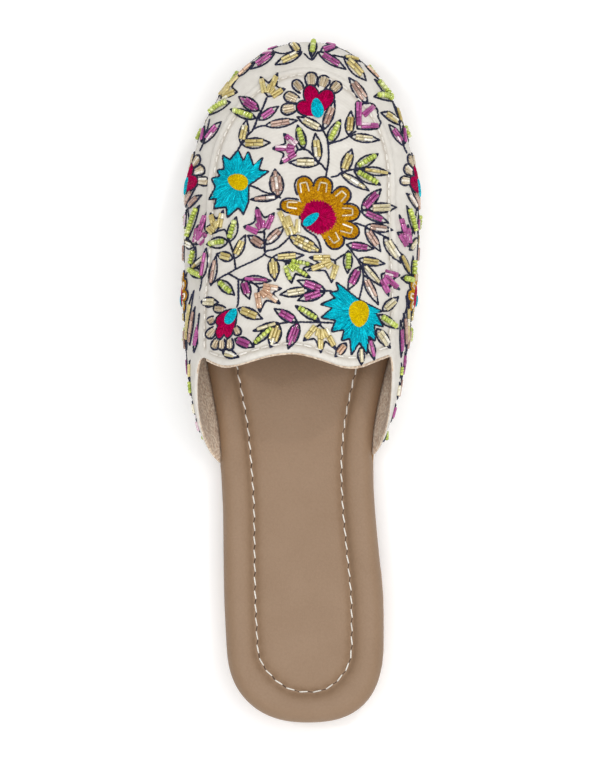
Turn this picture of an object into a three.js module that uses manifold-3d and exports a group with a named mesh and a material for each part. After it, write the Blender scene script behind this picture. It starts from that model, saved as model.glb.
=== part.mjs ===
// A left mojari mule: an open-backed slip-on with an embroidered moccasin front.
// Millimetres. +Y runs from heel to toe, +X to the inner side of the foot, +Z up from the floor.
import * as THREE from "three";
import Module from "manifold-3d";
import { mergeVertices } from "three/addons/utils/BufferGeometryUtils.js";

const wasm = await Module();
wasm.setup();

// Overall sizes
const SHOE_LENGTH = 254.5;
const HEEL_END_Y = -SHOE_LENGTH / 2;
const TOE_TIP_Y = SHOE_LENGTH / 2;
const FIT_GAP = 0.3; // between pieces that touch

// Outsole, in the side view
const SOLE_THICKNESS = 5;
const HEEL_LIFT = 4;
const HEEL_BREAST_Y = -72;
const HEEL_BREAST_RUN = 3;
const BALL_BACK_Y = 30;
const BALL_FRONT_Y = 78;
const TOE_SPRING = 6;
const SOLE_EDGE_CHAMFER = 0.8;
const SOLE_STATIONS = 40;

// Round ends of every outline: the last is straight between these two hubs
const HEEL_HUB_Y = -97;
const TOE_HUB_Y = 62;
const TOE_TIP_X = 2; // toe and heel both lean to the inner side
const HEEL_END_X = 1.8;
const TOE_POWER = 2.04; // 2 is an ellipse, more is squarer
const HEEL_POWER = 2.4;
const SOLE_TOE_SETBACK = 2.4; // the upper swells past the sole at the toe
const SOLE_HEEL_SETBACK = 0.3; // and the footbed overhangs it at the heel

// Half widths of the sole, out from the centre line
const SOLE_SECTIONS = [
  { y: -97, lateral: 28.5, medial: 30.2 },
  { y: -80, lateral: 29.3, medial: 30.0 },
  { y: -60, lateral: 29.6, medial: 28.1 },
  { y: -44, lateral: 29.9, medial: 26.7 },
  { y: -30, lateral: 30.9, medial: 26.3 },
  { y: -15, lateral: 32.4, medial: 27.4 },
  { y: 0, lateral: 35.2, medial: 30.4 },
  { y: 15, lateral: 38.0, medial: 34.2 },
  { y: 30, lateral: 39.8, medial: 37.2 },
  { y: 45, lateral: 40.6, medial: 39.2 },
  { y: 62, lateral: 40.4, medial: 40.2 },
];

// Half widths and height of the last's widest line, and the rise of the crown above it
const LAST_SECTIONS = [
  { y: -35, lateral: 34.6, medial: 30.0, widest: 24.0, crown: 44.0 },
  { y: -20, lateral: 37.2, medial: 31.8, widest: 24.0, crown: 42.5 },
  { y: -5, lateral: 40.4, medial: 35.8, widest: 23.6, crown: 40.5 },
  { y: 10, lateral: 42.3, medial: 38.7, widest: 23.0, crown: 38.2 },
  { y: 25, lateral: 43.2, medial: 40.8, widest: 22.2, crown: 35.6 },
  { y: 45, lateral: 43.5, medial: 42.7, widest: 20.6, crown: 31.8 },
  { y: 62, lateral: 43.2, medial: 43.4, widest: 19.4, crown: 28.4 },
  { y: 80, lateral: 43.2, medial: 43.4, widest: 18.6, crown: 25.0 },
  { y: 100, lateral: 43.2, medial: 43.4, widest: 18.4, crown: 21.4 },
  { y: 127, lateral: 43.2, medial: 43.4, widest: 19.2, crown: 17.4 },
];
const SECTION_POWER = 2.2; // shoulder of a cross-section: more is boxier

// The way up a cross-section is counted in levels
const FEATHER_LEVEL = 0; // where the upper meets the sole
const WIDEST_LEVEL = 1;
const SEAM_LEVEL = 2; // edge of the apron
const SPINE_LEVEL = 3; // centre line of the vamp
const LEVEL_STEPS = [3, 6, 8]; // grid rows from each level to the next
const SHOULDER_EASE = 1.8;

// How far in from the widest line the apron's edge lies, in plan
const SEAM_INSETS = [
  { y: 0, lateral: 6.2, medial: 4.6 },
  { y: 12, lateral: 6.6, medial: 4.8 },
  { y: 28, lateral: 7.4, medial: 5.2 },
  { y: 45, lateral: 8.8, medial: 7.2 },
  { y: 62, lateral: 9.6, medial: 8.6 },
  { y: 96, lateral: 8.6, medial: 7.8 },
  { y: 127, lateral: 11.2, medial: 11.2 },
];

// Where the collar crosses each level: down the sides, and the two lobes of the throat
const COLLAR = [
  { level: 0, lateral: -31.5, medial: -28.5 },
  { level: 0.5, lateral: -26.5, medial: -23.5 },
  { level: 1, lateral: -19.5, medial: -17 },
  { level: 1.5, lateral: -5.5, medial: -4.5 },
  { level: 1.8, lateral: 5.5, medial: 6 },
  { level: 2, lateral: 10.2, medial: 10.8 },
  { level: 2.24, lateral: 6, medial: 7.4 },
  { level: 2.42, lateral: 7, medial: 5.6 },
  { level: 2.75, lateral: 10.4, medial: 9 },
  { level: 3, lateral: 11.2, medial: 11.2 },
];

// Walls of the upper and of the apron lapped over it
const UPPER_WALL = 1.6;
const APRON_WALL = 1;
const APRON_BASE = FIT_GAP;
const APRON_TOP = APRON_BASE + APRON_WALL;
const SIDE_COLUMNS = 16;
const TOE_COLUMNS = 28;

// Padded footbed: inset from its edge and rise above the sole, from underneath to past the stitched groove
const FOOTBED_PROFILE = [
  { inset: 2.2, rise: 0 },
  { inset: 0.5, rise: 0.8 },
  { inset: 0, rise: 3 },
  { inset: 0.9, rise: 5.5 },
  { inset: 3, rise: 7.2 },
  { inset: 5.8, rise: 7.7 },
  { inset: 9.4, rise: 7 },
  { inset: 11.4, rise: 5.4 },
  { inset: 12, rise: 4.9 },
  { inset: 12.7, rise: 5.5 },
  { inset: 15.5, rise: 6.5 },
];
const FOOTBED_CROWN = 6.9;
const FOOTBED_INSIDE = 1.95; // edge to sole edge where the upper stands outside it
const FOOTBED_BEHIND = -SOLE_HEEL_SETBACK; // and behind the upper, flush with the shoe's end
const GROOVE_INSET = 12;
const HEEL_GROOVE_ROUNDING = 0.14; // the groove turns rounder than the edge at the heel's corners
const FOOTBED_STEP = { from: -38, to: -32, fadesAt: 11 }; // the edge steps in, and the groove runs on
const FOOTBED_SIDE_COLUMNS = 32;
const FOOTBED_END_COLUMNS = 18;

// Embroidered flowers that stand proud of the apron
const FLOWER_BASE = APRON_TOP + FIT_GAP;
const FLOWER_RELIEF = 0.8;
const FLOWER_REACH = 60; // height of the upright cutter, taller than the shoe's front
const FLOWER_POINTS = 96; // round each outline

// Petals fan out between two bearings, counted in degrees from +X; the stem joins in the gap that is left.
const FLOWERS = [
  {
    name: "flower_gold", thread: "gold", x: 7.4, y: 60.3,
    petals: 7, from: -56, to: 162, outer: 15, inner: 11.4, stem: 7.2, tip: 0.5,
  },
  {
    name: "flower_blue_toe", thread: "turquoise", x: -21.7, y: 73.1,
    petals: 11, from: 20, to: 279, outer: 12, inner: 8.2, stem: 4, tip: 1.3,
  },
  {
    name: "flower_blue_throat", thread: "turquoise", x: 21.6, y: 25.1,
    petals: 11, from: 124, to: 366, outer: 12.8, inner: 8.6, stem: 5.3, tip: 1.3,
  },
  {
    name: "flower_red_toe", thread: "crimson", x: 6, y: 100.5,
    petals: 6, from: 43, to: 186, outer: 12.2, inner: 8.6, stem: 6.2, tip: 0.5,
  },
  {
    name: "flower_red_throat", thread: "crimson", x: -26.2, y: 21.2,
    petals: 7, from: 127, to: 321, outer: 8.4, inner: 6.2, stem: 4.4, tip: 0.5,
  },
];

// Finishes
const FINISH = {
  outsole: { color: 0xb58a58, roughness: 0.75 },
  footbed: { color: 0x9a7f69, roughness: 0.5 },
  cloth: { color: 0xe6e0d6, roughness: 0.8 },
  gold: { color: 0xc98512, roughness: 0.5 },
  turquoise: { color: 0x0aa6c4, roughness: 0.5 },
  crimson: { color: 0xb80f4a, roughness: 0.5 },
};

const { lerp, smoothstep, degToRad } = THREE.MathUtils;

// A smooth curve through one column of a table, read by the table's first column.
function columnOf(rows, column) {
  const key = Object.keys(rows[0])[0];
  const curve = new THREE.CubicInterpolant(
    rows.map((row) => row[key]),
    rows.map((row) => row[column]),
    1,
    [0],
  );
  return (at) => curve.evaluate(at)[0];
}

// The lateral and medial columns of a table, by side.
function sidesOf(rows) {
  return { lateral: columnOf(rows, "lateral"), medial: columnOf(rows, "medial") };
}

const OUTWARD = { lateral: -1, medial: 1 };
const roundEnd = (share, power) => (1 - share ** power) ** (1 / power);

// A plan outline: half widths along the sides, and a round end beyond each hub.
class Outline {
  constructor(halfWidth, toeTipY, heelEndY) {
    this.halfWidth = halfWidth;
    this.toeReach = toeTipY - TOE_HUB_Y;
    this.heelReach = HEEL_HUB_Y - heelEndY;
  }

  sidePoint(side, y) {
    return new THREE.Vector2(OUTWARD[side] * this.halfWidth[side](y), y);
  }

  // Angles run from 0 at the lateral hub to half a turn at the medial hub.
  endPoint(angle, hubY, reach, tipX, power) {
    const across = -Math.cos(angle);
    const side = across < 0 ? "lateral" : "medial";
    const along = Math.abs(Math.sin(angle)) ** (2 / power);
    const wide = Math.abs(across) ** (2 / power) * this.halfWidth[side](hubY);
    return new THREE.Vector2(OUTWARD[side] * wide + tipX * along ** 2, hubY + reach * along);
  }

  toePoint(angle) {
    return this.endPoint(angle, TOE_HUB_Y, this.toeReach, TOE_TIP_X, TOE_POWER);
  }

  heelPoint(angle) {
    return this.endPoint(angle, HEEL_HUB_Y, -this.heelReach, HEEL_END_X, HEEL_POWER);
  }

  // The outline's x at any y, round ends included.
  x(side, y) {
    const inToe = y > TOE_HUB_Y;
    const share = inToe ? (y - TOE_HUB_Y) / this.toeReach : Math.max(0, (HEEL_HUB_Y - y) / this.heelReach);
    const hubY = THREE.MathUtils.clamp(y, HEEL_HUB_Y, TOE_HUB_Y);
    const lean = (inToe ? TOE_TIP_X : HEEL_END_X) * share ** 2;
    const round = roundEnd(share, inToe ? TOE_POWER : HEEL_POWER);
    return OUTWARD[side] * this.halfWidth[side](hubY) * round + lean;
  }
}

const soleWidth = sidesOf(SOLE_SECTIONS);
const soleOutline = new Outline(soleWidth, TOE_TIP_Y - SOLE_TOE_SETBACK, HEEL_END_Y + SOLE_HEEL_SETBACK);
const lastOutline = new Outline(sidesOf(LAST_SECTIONS), TOE_TIP_Y, HEEL_END_Y);

// Side view of the sole: a low heel, a lifted waist, a flat ball and a sprung toe.
const toeSpring = (y) => TOE_SPRING * (Math.max(0, y - BALL_FRONT_Y) / (TOE_TIP_Y - BALL_FRONT_Y)) ** 2;
const heelSlope = (y) => HEEL_LIFT * (1 - smoothstep(y, HEEL_BREAST_Y, BALL_BACK_Y));
const soleTop = (y) => SOLE_THICKNESS + heelSlope(y) + toeSpring(y);

function soleBottom(y) {
  const pastBreast = THREE.MathUtils.clamp((y - HEEL_BREAST_Y) / HEEL_BREAST_RUN, 0, 1);
  return heelSlope(y) * pastBreast + toeSpring(y);
}

// A closed geometry from points and triangles, keeping only the points in use.
function geometryOf(points, triangles) {
  const corners = triangles.flat().map((corner) => points[corner]);
  const geometry = mergeVertices(new THREE.BufferGeometry().setFromPoints(corners));
  geometry.computeVertexNormals();
  return geometry;
}

// Outsole: six-sided sections from heel to toe, chamfered along the bottom edge.
function outsoleGeometry() {
  const middle = (soleOutline.toeReach - soleOutline.heelReach + TOE_HUB_Y + HEEL_HUB_Y) / 2;
  const half = (soleOutline.toeReach + soleOutline.heelReach + TOE_HUB_Y - HEEL_HUB_Y) / 2;
  const turn = (k) => Math.PI * ((k + 0.7) / (SOLE_STATIONS + 1.4) - 0.5);
  const corners = [HEEL_BREAST_Y, HEEL_BREAST_Y + HEEL_BREAST_RUN, BALL_BACK_Y, BALL_FRONT_Y];
  const clear = (y) => corners.every((corner) => Math.abs(corner - y) > 1);
  const even = Array.from({ length: SOLE_STATIONS + 1 }, (_, k) => middle + half * Math.sin(turn(k)));
  const stations = [...even.filter(clear), ...corners].sort((a, b) => a - b);
  const rings = stations.map((y) => {
    const lateral = soleOutline.x("lateral", y);
    const medial = soleOutline.x("medial", y);
    const bottom = soleBottom(y);
    return [
      new THREE.Vector3(lateral + SOLE_EDGE_CHAMFER, y, bottom),
      new THREE.Vector3(medial - SOLE_EDGE_CHAMFER, y, bottom),
      new THREE.Vector3(medial, y, bottom + SOLE_EDGE_CHAMFER),
      new THREE.Vector3(medial, y, soleTop(y)),
      new THREE.Vector3(lateral, y, soleTop(y)),
      new THREE.Vector3(lateral, y, bottom + SOLE_EDGE_CHAMFER),
    ];
  });
  const sides = rings[0].length;
  const triangles = [];
  for (let k = 0; k < rings.length - 1; k++) {
    for (let s = 0; s < sides; s++) {
      const here = k * sides;
      const next = here + sides;
      const turned = (s + 1) % sides;
      triangles.push([here + s, next + s, here + turned], [here + turned, next + s, next + turned]);
    }
  }
  const last = (rings.length - 1) * sides;
  for (let s = 1; s < sides - 1; s++) {
    triangles.push([0, s, s + 1], [last, last + s + 1, last + s]);
  }
  return geometryOf(rings.flat(), triangles);
}

// Footbed: rows run from the underside's centre line, round the padded edge and in to the top's.
function footbedGeometry() {
  const width = {
    lateral: (y) => soleWidth.lateral(y) - FOOTBED_BEHIND,
    medial: (y) => soleWidth.medial(y) - FOOTBED_BEHIND,
  };
  const outline = new Outline(width, TOE_TIP_Y - SOLE_TOE_SETBACK - FOOTBED_BEHIND, HEEL_END_Y);
  const step = FOOTBED_INSIDE - FOOTBED_BEHIND;
  const stepIn = (y) => step * smoothstep(y, FOOTBED_STEP.from, FOOTBED_STEP.to);
  const insetAt = (row, y) => row.inset + stepIn(y) * Math.max(0, 1 - row.inset / FOOTBED_STEP.fadesAt);
  const rounder = (row, corner) => 1 + HEEL_GROOVE_ROUNDING * corner * Math.min(1, row.inset / GROOVE_INSET);
  const sideY = (k) => lerp(HEEL_HUB_Y, TOE_HUB_Y, k / FOOTBED_SIDE_COLUMNS);
  const endAngle = (k) => (Math.PI * (k + 1)) / FOOTBED_END_COLUMNS;
  const ends = Array.from({ length: FOOTBED_END_COLUMNS - 1 }, (_, k) => endAngle(k));
  const sides = Array.from({ length: FOOTBED_SIDE_COLUMNS + 1 }, (_, k) => k);
  const columns = [
    ...sides.map((k) => ({ edge: outline.sidePoint("lateral", sideY(k)), hub: k })),
    ...ends.map((angle) => ({ edge: outline.toePoint(angle), hub: FOOTBED_SIDE_COLUMNS })),
    ...sides.toReversed().map((k) => ({ edge: outline.sidePoint("medial", sideY(k)), hub: k })),
    ...ends.toReversed().map((angle) => ({
      edge: outline.heelPoint(angle),
      hub: 0,
      corner: Math.sin(2 * angle) ** 2,
    })),
  ];
  const place = (plan, rise) => new THREE.Vector3(plan.x, plan.y, soleTop(plan.y) + FIT_GAP + rise);
  const hubs = sides.map((k) => new THREE.Vector2(0, sideY(k)));
  const rows = FOOTBED_PROFILE.length;
  const points = columns.flatMap(({ edge, hub, corner = 0 }) =>
    FOOTBED_PROFILE.map((row) => {
      const inset = insetAt(row, edge.y) * rounder(row, corner);
      const share = inset / edge.distanceTo(hubs[hub]);
      return place(edge.clone().lerp(hubs[hub], share), row.rise);
    }),
  );
  const underHub = points.length;
  const overHub = underHub + hubs.length;
  points.push(...hubs.map((hub) => place(hub, 0)), ...hubs.map((hub) => place(hub, FOOTBED_CROWN)));
  const corner = (column, row) => {
    if (row < 0) return underHub + columns[column].hub;
    return row < rows ? column * rows + row : overHub + columns[column].hub;
  };
  const triangles = [];
  for (let c = 0; c < columns.length; c++) {
    const next = (c + 1) % columns.length;
    for (let row = -1; row < rows; row++) {
      const [a, b, d, e] = [corner(c, row), corner(next, row), corner(c, row + 1), corner(next, row + 1)];
      triangles.push([a, d, b], [b, d, e]);
    }
  }
  const distinct = triangles.filter((triangle) => new Set(triangle).size === 3);
  return geometryOf(points, distinct);
}

// Height of the last above the floor over a plan point inside its widest line.
const widestHeight = columnOf(LAST_SECTIONS, "widest");
const crownRise = columnOf(LAST_SECTIONS, "crown");

function crownHeight(plan) {
  const side = plan.x < 0 ? "lateral" : "medial";
  const ahead = Math.max(0, plan.y - TOE_HUB_Y) / lastOutline.toeReach;
  const half = lastOutline.halfWidth[side](Math.min(plan.y, TOE_HUB_Y));
  const across = Math.abs(plan.x - TOE_TIP_X * ahead ** 2) / half;
  const out = Math.min(1, across ** TOE_POWER + ahead ** TOE_POWER);
  return widestHeight(plan.y) + crownRise(plan.y) * (1 - out) ** (1 / SECTION_POWER);
}

// A point of the last's surface: columns run along the foot and fan round the toe, levels up the section.
const collarY = sidesOf(COLLAR);
const seamInset = sidesOf(SEAM_INSETS);

function upperPoint({ side, share, angle }, level) {
  const inToe = angle !== undefined;
  const y = inToe ? TOE_HUB_Y : lerp(collarY[side](level), TOE_HUB_Y, share);
  const feather = inToe ? soleOutline.toePoint(angle) : soleOutline.sidePoint(side, y);
  const widest = inToe ? lastOutline.toePoint(angle) : lastOutline.sidePoint(side, y);
  if (level <= WIDEST_LEVEL) {
    const plan = feather.clone().lerp(widest, 1 - (1 - level) ** 2);
    const height = lerp(soleTop(feather.y) + FIT_GAP, widestHeight(widest.y), level);
    return new THREE.Vector3(plan.x, plan.y, height);
  }
  const spine = new THREE.Vector2(0, y);
  const seam = seamInset[side](widest.y) / widest.distanceTo(spine);
  const inward =
    level <= SEAM_LEVEL
      ? seam * (level - WIDEST_LEVEL) ** SHOULDER_EASE
      : lerp(seam, 1, (level - SEAM_LEVEL) / (SPINE_LEVEL - SEAM_LEVEL));
  const plan = widest.lerp(spine, inward);
  return new THREE.Vector3(plan.x, plan.y, crownHeight(plan));
}

// The upper's skin as a grid: from the lateral collar round the toe to the medial one, and up to the spine.
function upperSkin() {
  const levels = LEVEL_STEPS.flatMap((steps, part) =>
    Array.from({ length: steps }, (_, k) => FEATHER_LEVEL + part + k / steps),
  );
  levels.push(SPINE_LEVEL);
  const shares = Array.from({ length: SIDE_COLUMNS + 1 }, (_, k) => k / SIDE_COLUMNS);
  const angles = Array.from({ length: TOE_COLUMNS - 1 }, (_, k) => (Math.PI * (k + 1)) / TOE_COLUMNS);
  const columns = [
    ...shares.map((share) => ({ side: "lateral", share })),
    ...angles.map((angle) => ({ side: angle < Math.PI / 2 ? "lateral" : "medial", angle })),
    ...shares.toReversed().map((share) => ({ side: "medial", share })),
  ];
  const top = levels.length - 1;
  const points = columns.flatMap((column) => levels.slice(0, top).map((level) => upperPoint(column, level)));
  const spineStart = points.length;
  points.push(...columns.slice(0, SIDE_COLUMNS + 1).map((column) => upperPoint(column, SPINE_LEVEL)));
  const spineOf = (c) => spineStart + Math.min(c, SIDE_COLUMNS, columns.length - 1 - c);
  const corner = (c, row) => (row < top ? c * top + row : spineOf(c));
  const trianglesFrom = (firstRow) => {
    const found = [];
    for (let c = 0; c < columns.length - 1; c++) {
      for (let row = firstRow; row < top; row++) {
        const [a, b, d, e] = [corner(c, row), corner(c + 1, row), corner(c, row + 1), corner(c + 1, row + 1)];
        found.push([a, d, b], [b, d, e]);
      }
    }
    return found.filter((triangle) => new Set(triangle).size === 3);
  };
  const triangles = trianglesFrom(0);
  const surface = new THREE.BufferGeometry().setFromPoints(points).setIndex(triangles.flat());
  surface.computeVertexNormals();
  const normals = points.map((_, k) => new THREE.Vector3().fromBufferAttribute(surface.attributes.normal, k));
  const seamRow = levels.indexOf(SEAM_LEVEL);
  return { points, normals, triangles, apronTriangles: trianglesFrom(seamRow) };
}

const skin = upperSkin();

// A wall of even thickness on the skin, between two offsets along its normals, closed round its open edges.
function wallGeometry(triangles, low, high) {
  const count = skin.points.length;
  const moved = (k, distance) => skin.points[k].clone().addScaledVector(skin.normals[k], distance);
  const offset = (distance) => skin.points.map((_, k) => moved(k, distance));
  const edges = new Set(triangles.flatMap(([a, b, c]) => [`${a} ${b}`, `${b} ${c}`, `${c} ${a}`]));
  const pairs = [...edges].map((edge) => edge.split(" ").map(Number));
  const open = pairs.filter(([a, b]) => !edges.has(`${b} ${a}`));
  const closed = [
    ...triangles,
    ...triangles.map(([a, b, c]) => [count + a, count + c, count + b]),
    ...open.flatMap(([a, b]) => [
      [b, a, count + a],
      [b, count + a, count + b],
    ]),
  ];
  return geometryOf([...offset(high), ...offset(low)], closed);
}

// Joining and cutting on closed geometries.
function solidOf(geometry) {
  const bare = new THREE.BufferGeometry().setAttribute("position", geometry.attributes.position);
  if (geometry.index) bare.setIndex(geometry.index);
  const merged = mergeVertices(bare);
  return new wasm.Manifold(
    new wasm.Mesh({
      numProp: 3,
      vertProperties: new Float32Array(merged.attributes.position.array),
      triVerts: new Uint32Array(merged.index.array),
    }),
  );
}

function geometryOfSolid(solid) {
  const mesh = solid.getMesh();
  const geometry = new THREE.BufferGeometry();
  geometry.setAttribute("position", new THREE.BufferAttribute(mesh.vertProperties, mesh.numProp));
  geometry.setIndex(new THREE.BufferAttribute(mesh.triVerts, 1));
  geometry.computeVertexNormals();
  return geometry;
}

// An embroidered flower: its petal outline cuts a patch out of a thin wall laid over the apron.
function flowerRadius({ petals, from, to, outer, inner, stem, tip }, bearing) {
  const spacing = (to - from) / (petals - 1);
  const first = from - spacing / 2;
  const last = to + spacing / 2;
  if (bearing <= last) {
    const across = Math.cos((Math.PI * (bearing - from)) / spacing);
    return lerp(inner, outer, Math.abs(across) ** tip);
  }
  const middle = (last + first + 360) / 2;
  return lerp(stem, inner, ((bearing - middle) / (middle - last)) ** 2);
}

function flowerOutline(flower) {
  const first = flower.from - (flower.to - flower.from) / (flower.petals - 1) / 2;
  const points = Array.from({ length: FLOWER_POINTS }, (_, k) => {
    const bearing = first + (360 * k) / FLOWER_POINTS;
    const radius = flowerRadius(flower, bearing);
    return new THREE.Vector2(radius, 0).rotateAround(new THREE.Vector2(), degToRad(bearing));
  });
  return new THREE.Shape(points);
}

function flowerGeometry(flower, cover) {
  const upright = { depth: FLOWER_REACH, bevelEnabled: false };
  const cutter = new THREE.ExtrudeGeometry(flowerOutline(flower), upright);
  cutter.translate(flower.x, flower.y, SOLE_THICKNESS);
  return geometryOfSolid(solidOf(cutter).intersect(cover));
}

// The assembled shoe
const shoe = new THREE.Group();

function addPiece(name, geometry, finish) {
  const material = new THREE.MeshStandardMaterial({ metalness: 0, ...finish });
  const piece = new THREE.Mesh(geometry, material);
  piece.name = name;
  shoe.add(piece);
}

addPiece("outsole", outsoleGeometry(), FINISH.outsole);
addPiece("footbed", footbedGeometry(), FINISH.footbed);
addPiece("upper", wallGeometry(skin.triangles, -UPPER_WALL, 0), FINISH.cloth);
addPiece("apron", wallGeometry(skin.apronTriangles, APRON_BASE, APRON_TOP), FINISH.cloth);

const flowerCover = solidOf(wallGeometry(skin.apronTriangles, FLOWER_BASE, FLOWER_BASE + FLOWER_RELIEF));
for (const flower of FLOWERS) {
  addPiece(flower.name, flowerGeometry(flower, flowerCover), FINISH[flower.thread]);
}

export default shoe;
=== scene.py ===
import math
import random
from functools import partialmethod

import bmesh
import bpy
import numpy as np
from mathutils import Matrix, Vector
from mathutils.bvhtree import BVHTree
from mathutils.kdtree import KDTree


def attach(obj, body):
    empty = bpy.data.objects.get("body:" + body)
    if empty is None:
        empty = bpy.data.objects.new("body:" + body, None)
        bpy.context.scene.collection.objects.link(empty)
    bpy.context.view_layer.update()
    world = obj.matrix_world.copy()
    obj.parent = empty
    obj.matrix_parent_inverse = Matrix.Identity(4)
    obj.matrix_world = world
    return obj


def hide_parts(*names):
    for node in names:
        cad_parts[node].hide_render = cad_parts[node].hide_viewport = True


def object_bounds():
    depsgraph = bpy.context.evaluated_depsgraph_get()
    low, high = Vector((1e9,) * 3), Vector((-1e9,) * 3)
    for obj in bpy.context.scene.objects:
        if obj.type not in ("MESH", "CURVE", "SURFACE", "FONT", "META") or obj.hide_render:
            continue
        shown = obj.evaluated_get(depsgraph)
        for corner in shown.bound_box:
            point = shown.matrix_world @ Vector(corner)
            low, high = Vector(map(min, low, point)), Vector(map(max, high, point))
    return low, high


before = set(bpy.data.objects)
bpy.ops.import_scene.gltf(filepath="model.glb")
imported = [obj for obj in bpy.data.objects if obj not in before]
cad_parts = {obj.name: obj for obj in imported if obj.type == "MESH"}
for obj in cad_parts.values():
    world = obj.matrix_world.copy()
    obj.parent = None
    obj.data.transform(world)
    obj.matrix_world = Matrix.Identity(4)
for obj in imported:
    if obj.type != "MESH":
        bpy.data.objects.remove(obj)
cad_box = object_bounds()
MM = 0.001
chance = random.Random(11)

# Outsole: a 5 mm tan leather sole with a low lift under the heel, cut to the last and cemented
# under the footbed and the upper's turned-in edge. The cut edge is sanded and left unpainted.


def take_up(piece):
    """Makes a piece the only one that the next operator acts on."""
    bpy.ops.object.select_all(action="DESELECT")
    piece.select_set(True)
    bpy.context.view_layer.objects.active = piece


def new_piece(name, data):
    """A piece of the scene, at the origin and unscaled."""
    piece = bpy.data.objects.new(name, data)
    bpy.context.scene.collection.objects.link(piece)
    return piece


def copy_of_node(node, name):
    """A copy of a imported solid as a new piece, with its loose triangles merged into quads."""
    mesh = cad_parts[node].data.copy()
    mesh.name = name
    mesh.materials.clear()
    piece = new_piece(name, mesh)
    take_up(piece)
    bpy.ops.mesh.customdata_custom_splitnormals_clear()
    bpy.ops.object.mode_set(mode="EDIT")
    bpy.ops.mesh.select_all(action="SELECT")
    bpy.ops.mesh.remove_doubles(threshold=0.02 * MM)
    bpy.ops.mesh.tris_convert_to_quads(
        face_threshold=math.radians(70), shape_threshold=math.radians(80)
    )
    bpy.ops.object.mode_set(mode="OBJECT")
    return piece


def apply_modifier(piece, kind, **settings):
    take_up(piece)
    bpy.ops.object.modifier_add(type=kind)
    modifier = piece.modifiers[-1]
    for name, value in settings.items():
        setattr(modifier, name, value)
    bpy.ops.object.modifier_apply(modifier=modifier.name)


def smooth_by_angle(piece, degrees):
    take_up(piece)
    bpy.ops.object.shade_smooth_by_angle(angle=math.radians(degrees))


def colour(red, green, blue):
    """A display colour, 0 to 255 a channel, as the shader's linear one."""
    shares = [channel / 255 for channel in (red, green, blue)]
    linear = [s / 12.92 if s <= 0.04045 else ((s + 0.055) / 1.055) ** 2.4 for s in shares]
    return (*linear, 1)


class Value:
    """A shader socket that can be used in a sum."""

    def __init__(self, finish, socket):
        self.finish = finish
        self.socket = socket

    def math(self, operation, *others):
        terms = dict(enumerate((self, *others)))
        return self.finish.node("ShaderNodeMath", {"operation": operation}, terms)

    __add__ = __radd__ = partialmethod(math, "ADD")
    __sub__ = partialmethod(math, "SUBTRACT")
    __mul__ = __rmul__ = partialmethod(math, "MULTIPLY")
    __pow__ = partialmethod(math, "POWER")
    sine = partialmethod(math, "SINE")
    size = partialmethod(math, "ABSOLUTE")
    below = partialmethod(math, "LESS_THAN")

    def __rsub__(self, other):
        return self.finish.node("ShaderNodeMath", {"operation": "SUBTRACT"}, {0: other, 1: self})

    def steep(self, gain):
        """The same value with more contrast about its middle."""
        return (self - 0.5) * gain + 0.5


class Finish:
    """One material: constants go on the surface shader, and nodes are added one by one."""

    def __init__(self, name, **constants):
        self.material = bpy.data.materials.new(name)
        self.material.use_nodes = True
        self.tree = self.material.node_tree
        self.surface = self.tree.nodes["Principled BSDF"]
        for socket, value in constants.items():
            self.surface.inputs[socket.replace("_", " ")].default_value = value
        self.place = self.node("ShaderNodeTexCoord", output="Object")

    def node(self, kind, settings=None, sockets=None, output=0):
        made = self.tree.nodes.new(kind)
        for name, value in (settings or {}).items():
            setattr(made, name, value)
        for name, value in (sockets or {}).items():
            self.feed(made.inputs[name], value)
        return Value(self, made.outputs[output])

    def feed(self, socket, value):
        if isinstance(value, Value):
            self.tree.links.new(value.socket, socket)
        else:
            socket.default_value = value

    def axes(self, vector):
        """The three parts of a vector."""
        parts = self.node("ShaderNodeSeparateXYZ", None, {"Vector": vector})
        return [Value(self, socket) for socket in parts.socket.node.outputs]

    def noise(self, grain, detail=3):
        """Cloudy noise whose patches are about this many millimetres across."""
        sockets = {"Vector": self.place, "Scale": 1 / (grain * MM), "Detail": detail}
        return self.node("ShaderNodeTexNoise", None, sockets)

    def cells(self, grain):
        """Distance to the middle of cells this many millimetres across."""
        sockets = {"Vector": self.place, "Scale": 1 / (grain * MM)}
        return self.node("ShaderNodeTexVoronoi", None, sockets)

    def mix(self, share, first, second):
        """A blend of two colours: the node's inputs 6 and 7 and its output 2 are its colour sockets."""
        sockets = {"Factor": share, 6: first, 7: second}
        return self.node("ShaderNodeMix", {"data_type": "RGBA"}, sockets, 2)

    def facing(self):
        """How far a face points up, from -1 to 1."""
        return self.axes(self.node("ShaderNodeNewGeometry", output="Normal"))[2]

    def attribute(self, name):
        return self.node("ShaderNodeAttribute", {"attribute_name": name}, output="Fac")

    def bump(self, height, depth):
        sockets = {"Height": height, "Distance": depth * MM}
        self.feed(self.surface.inputs["Normal"], self.node("ShaderNodeBump", None, sockets))

    def paint(self, base, roughness=None):
        self.feed(self.surface.inputs["Base Color"], base)
        if roughness is not None:
            self.feed(self.surface.inputs["Roughness"], roughness)


def sole_leather():
    tan = colour(190, 150, 102)
    dark_tan = colour(150, 110, 68)
    scuffed = colour(122, 98, 74)
    layer = 1.25 * MM
    finish = Finish("sole_leather")
    fibre = finish.noise(0.5, 6)
    cloud = finish.noise(12)
    height = finish.axes(finish.place)[2]
    facing = finish.facing()
    edge = 1 - facing.size()
    lines = (height * (math.tau / layer) + cloud * 4).sine()
    hide = finish.mix(fibre, dark_tan, tan)
    hide = finish.mix(edge * (0.25 + 0.12 * lines), hide, dark_tan)
    trodden = facing.below(-0.5) * finish.noise(30, 5) ** 2
    finish.paint(finish.mix(trodden, hide, scuffed), 0.62 + 0.2 * fibre)
    finish.bump(fibre * 0.6 + edge * lines * 0.25, 0.15)
    return finish.material


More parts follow.
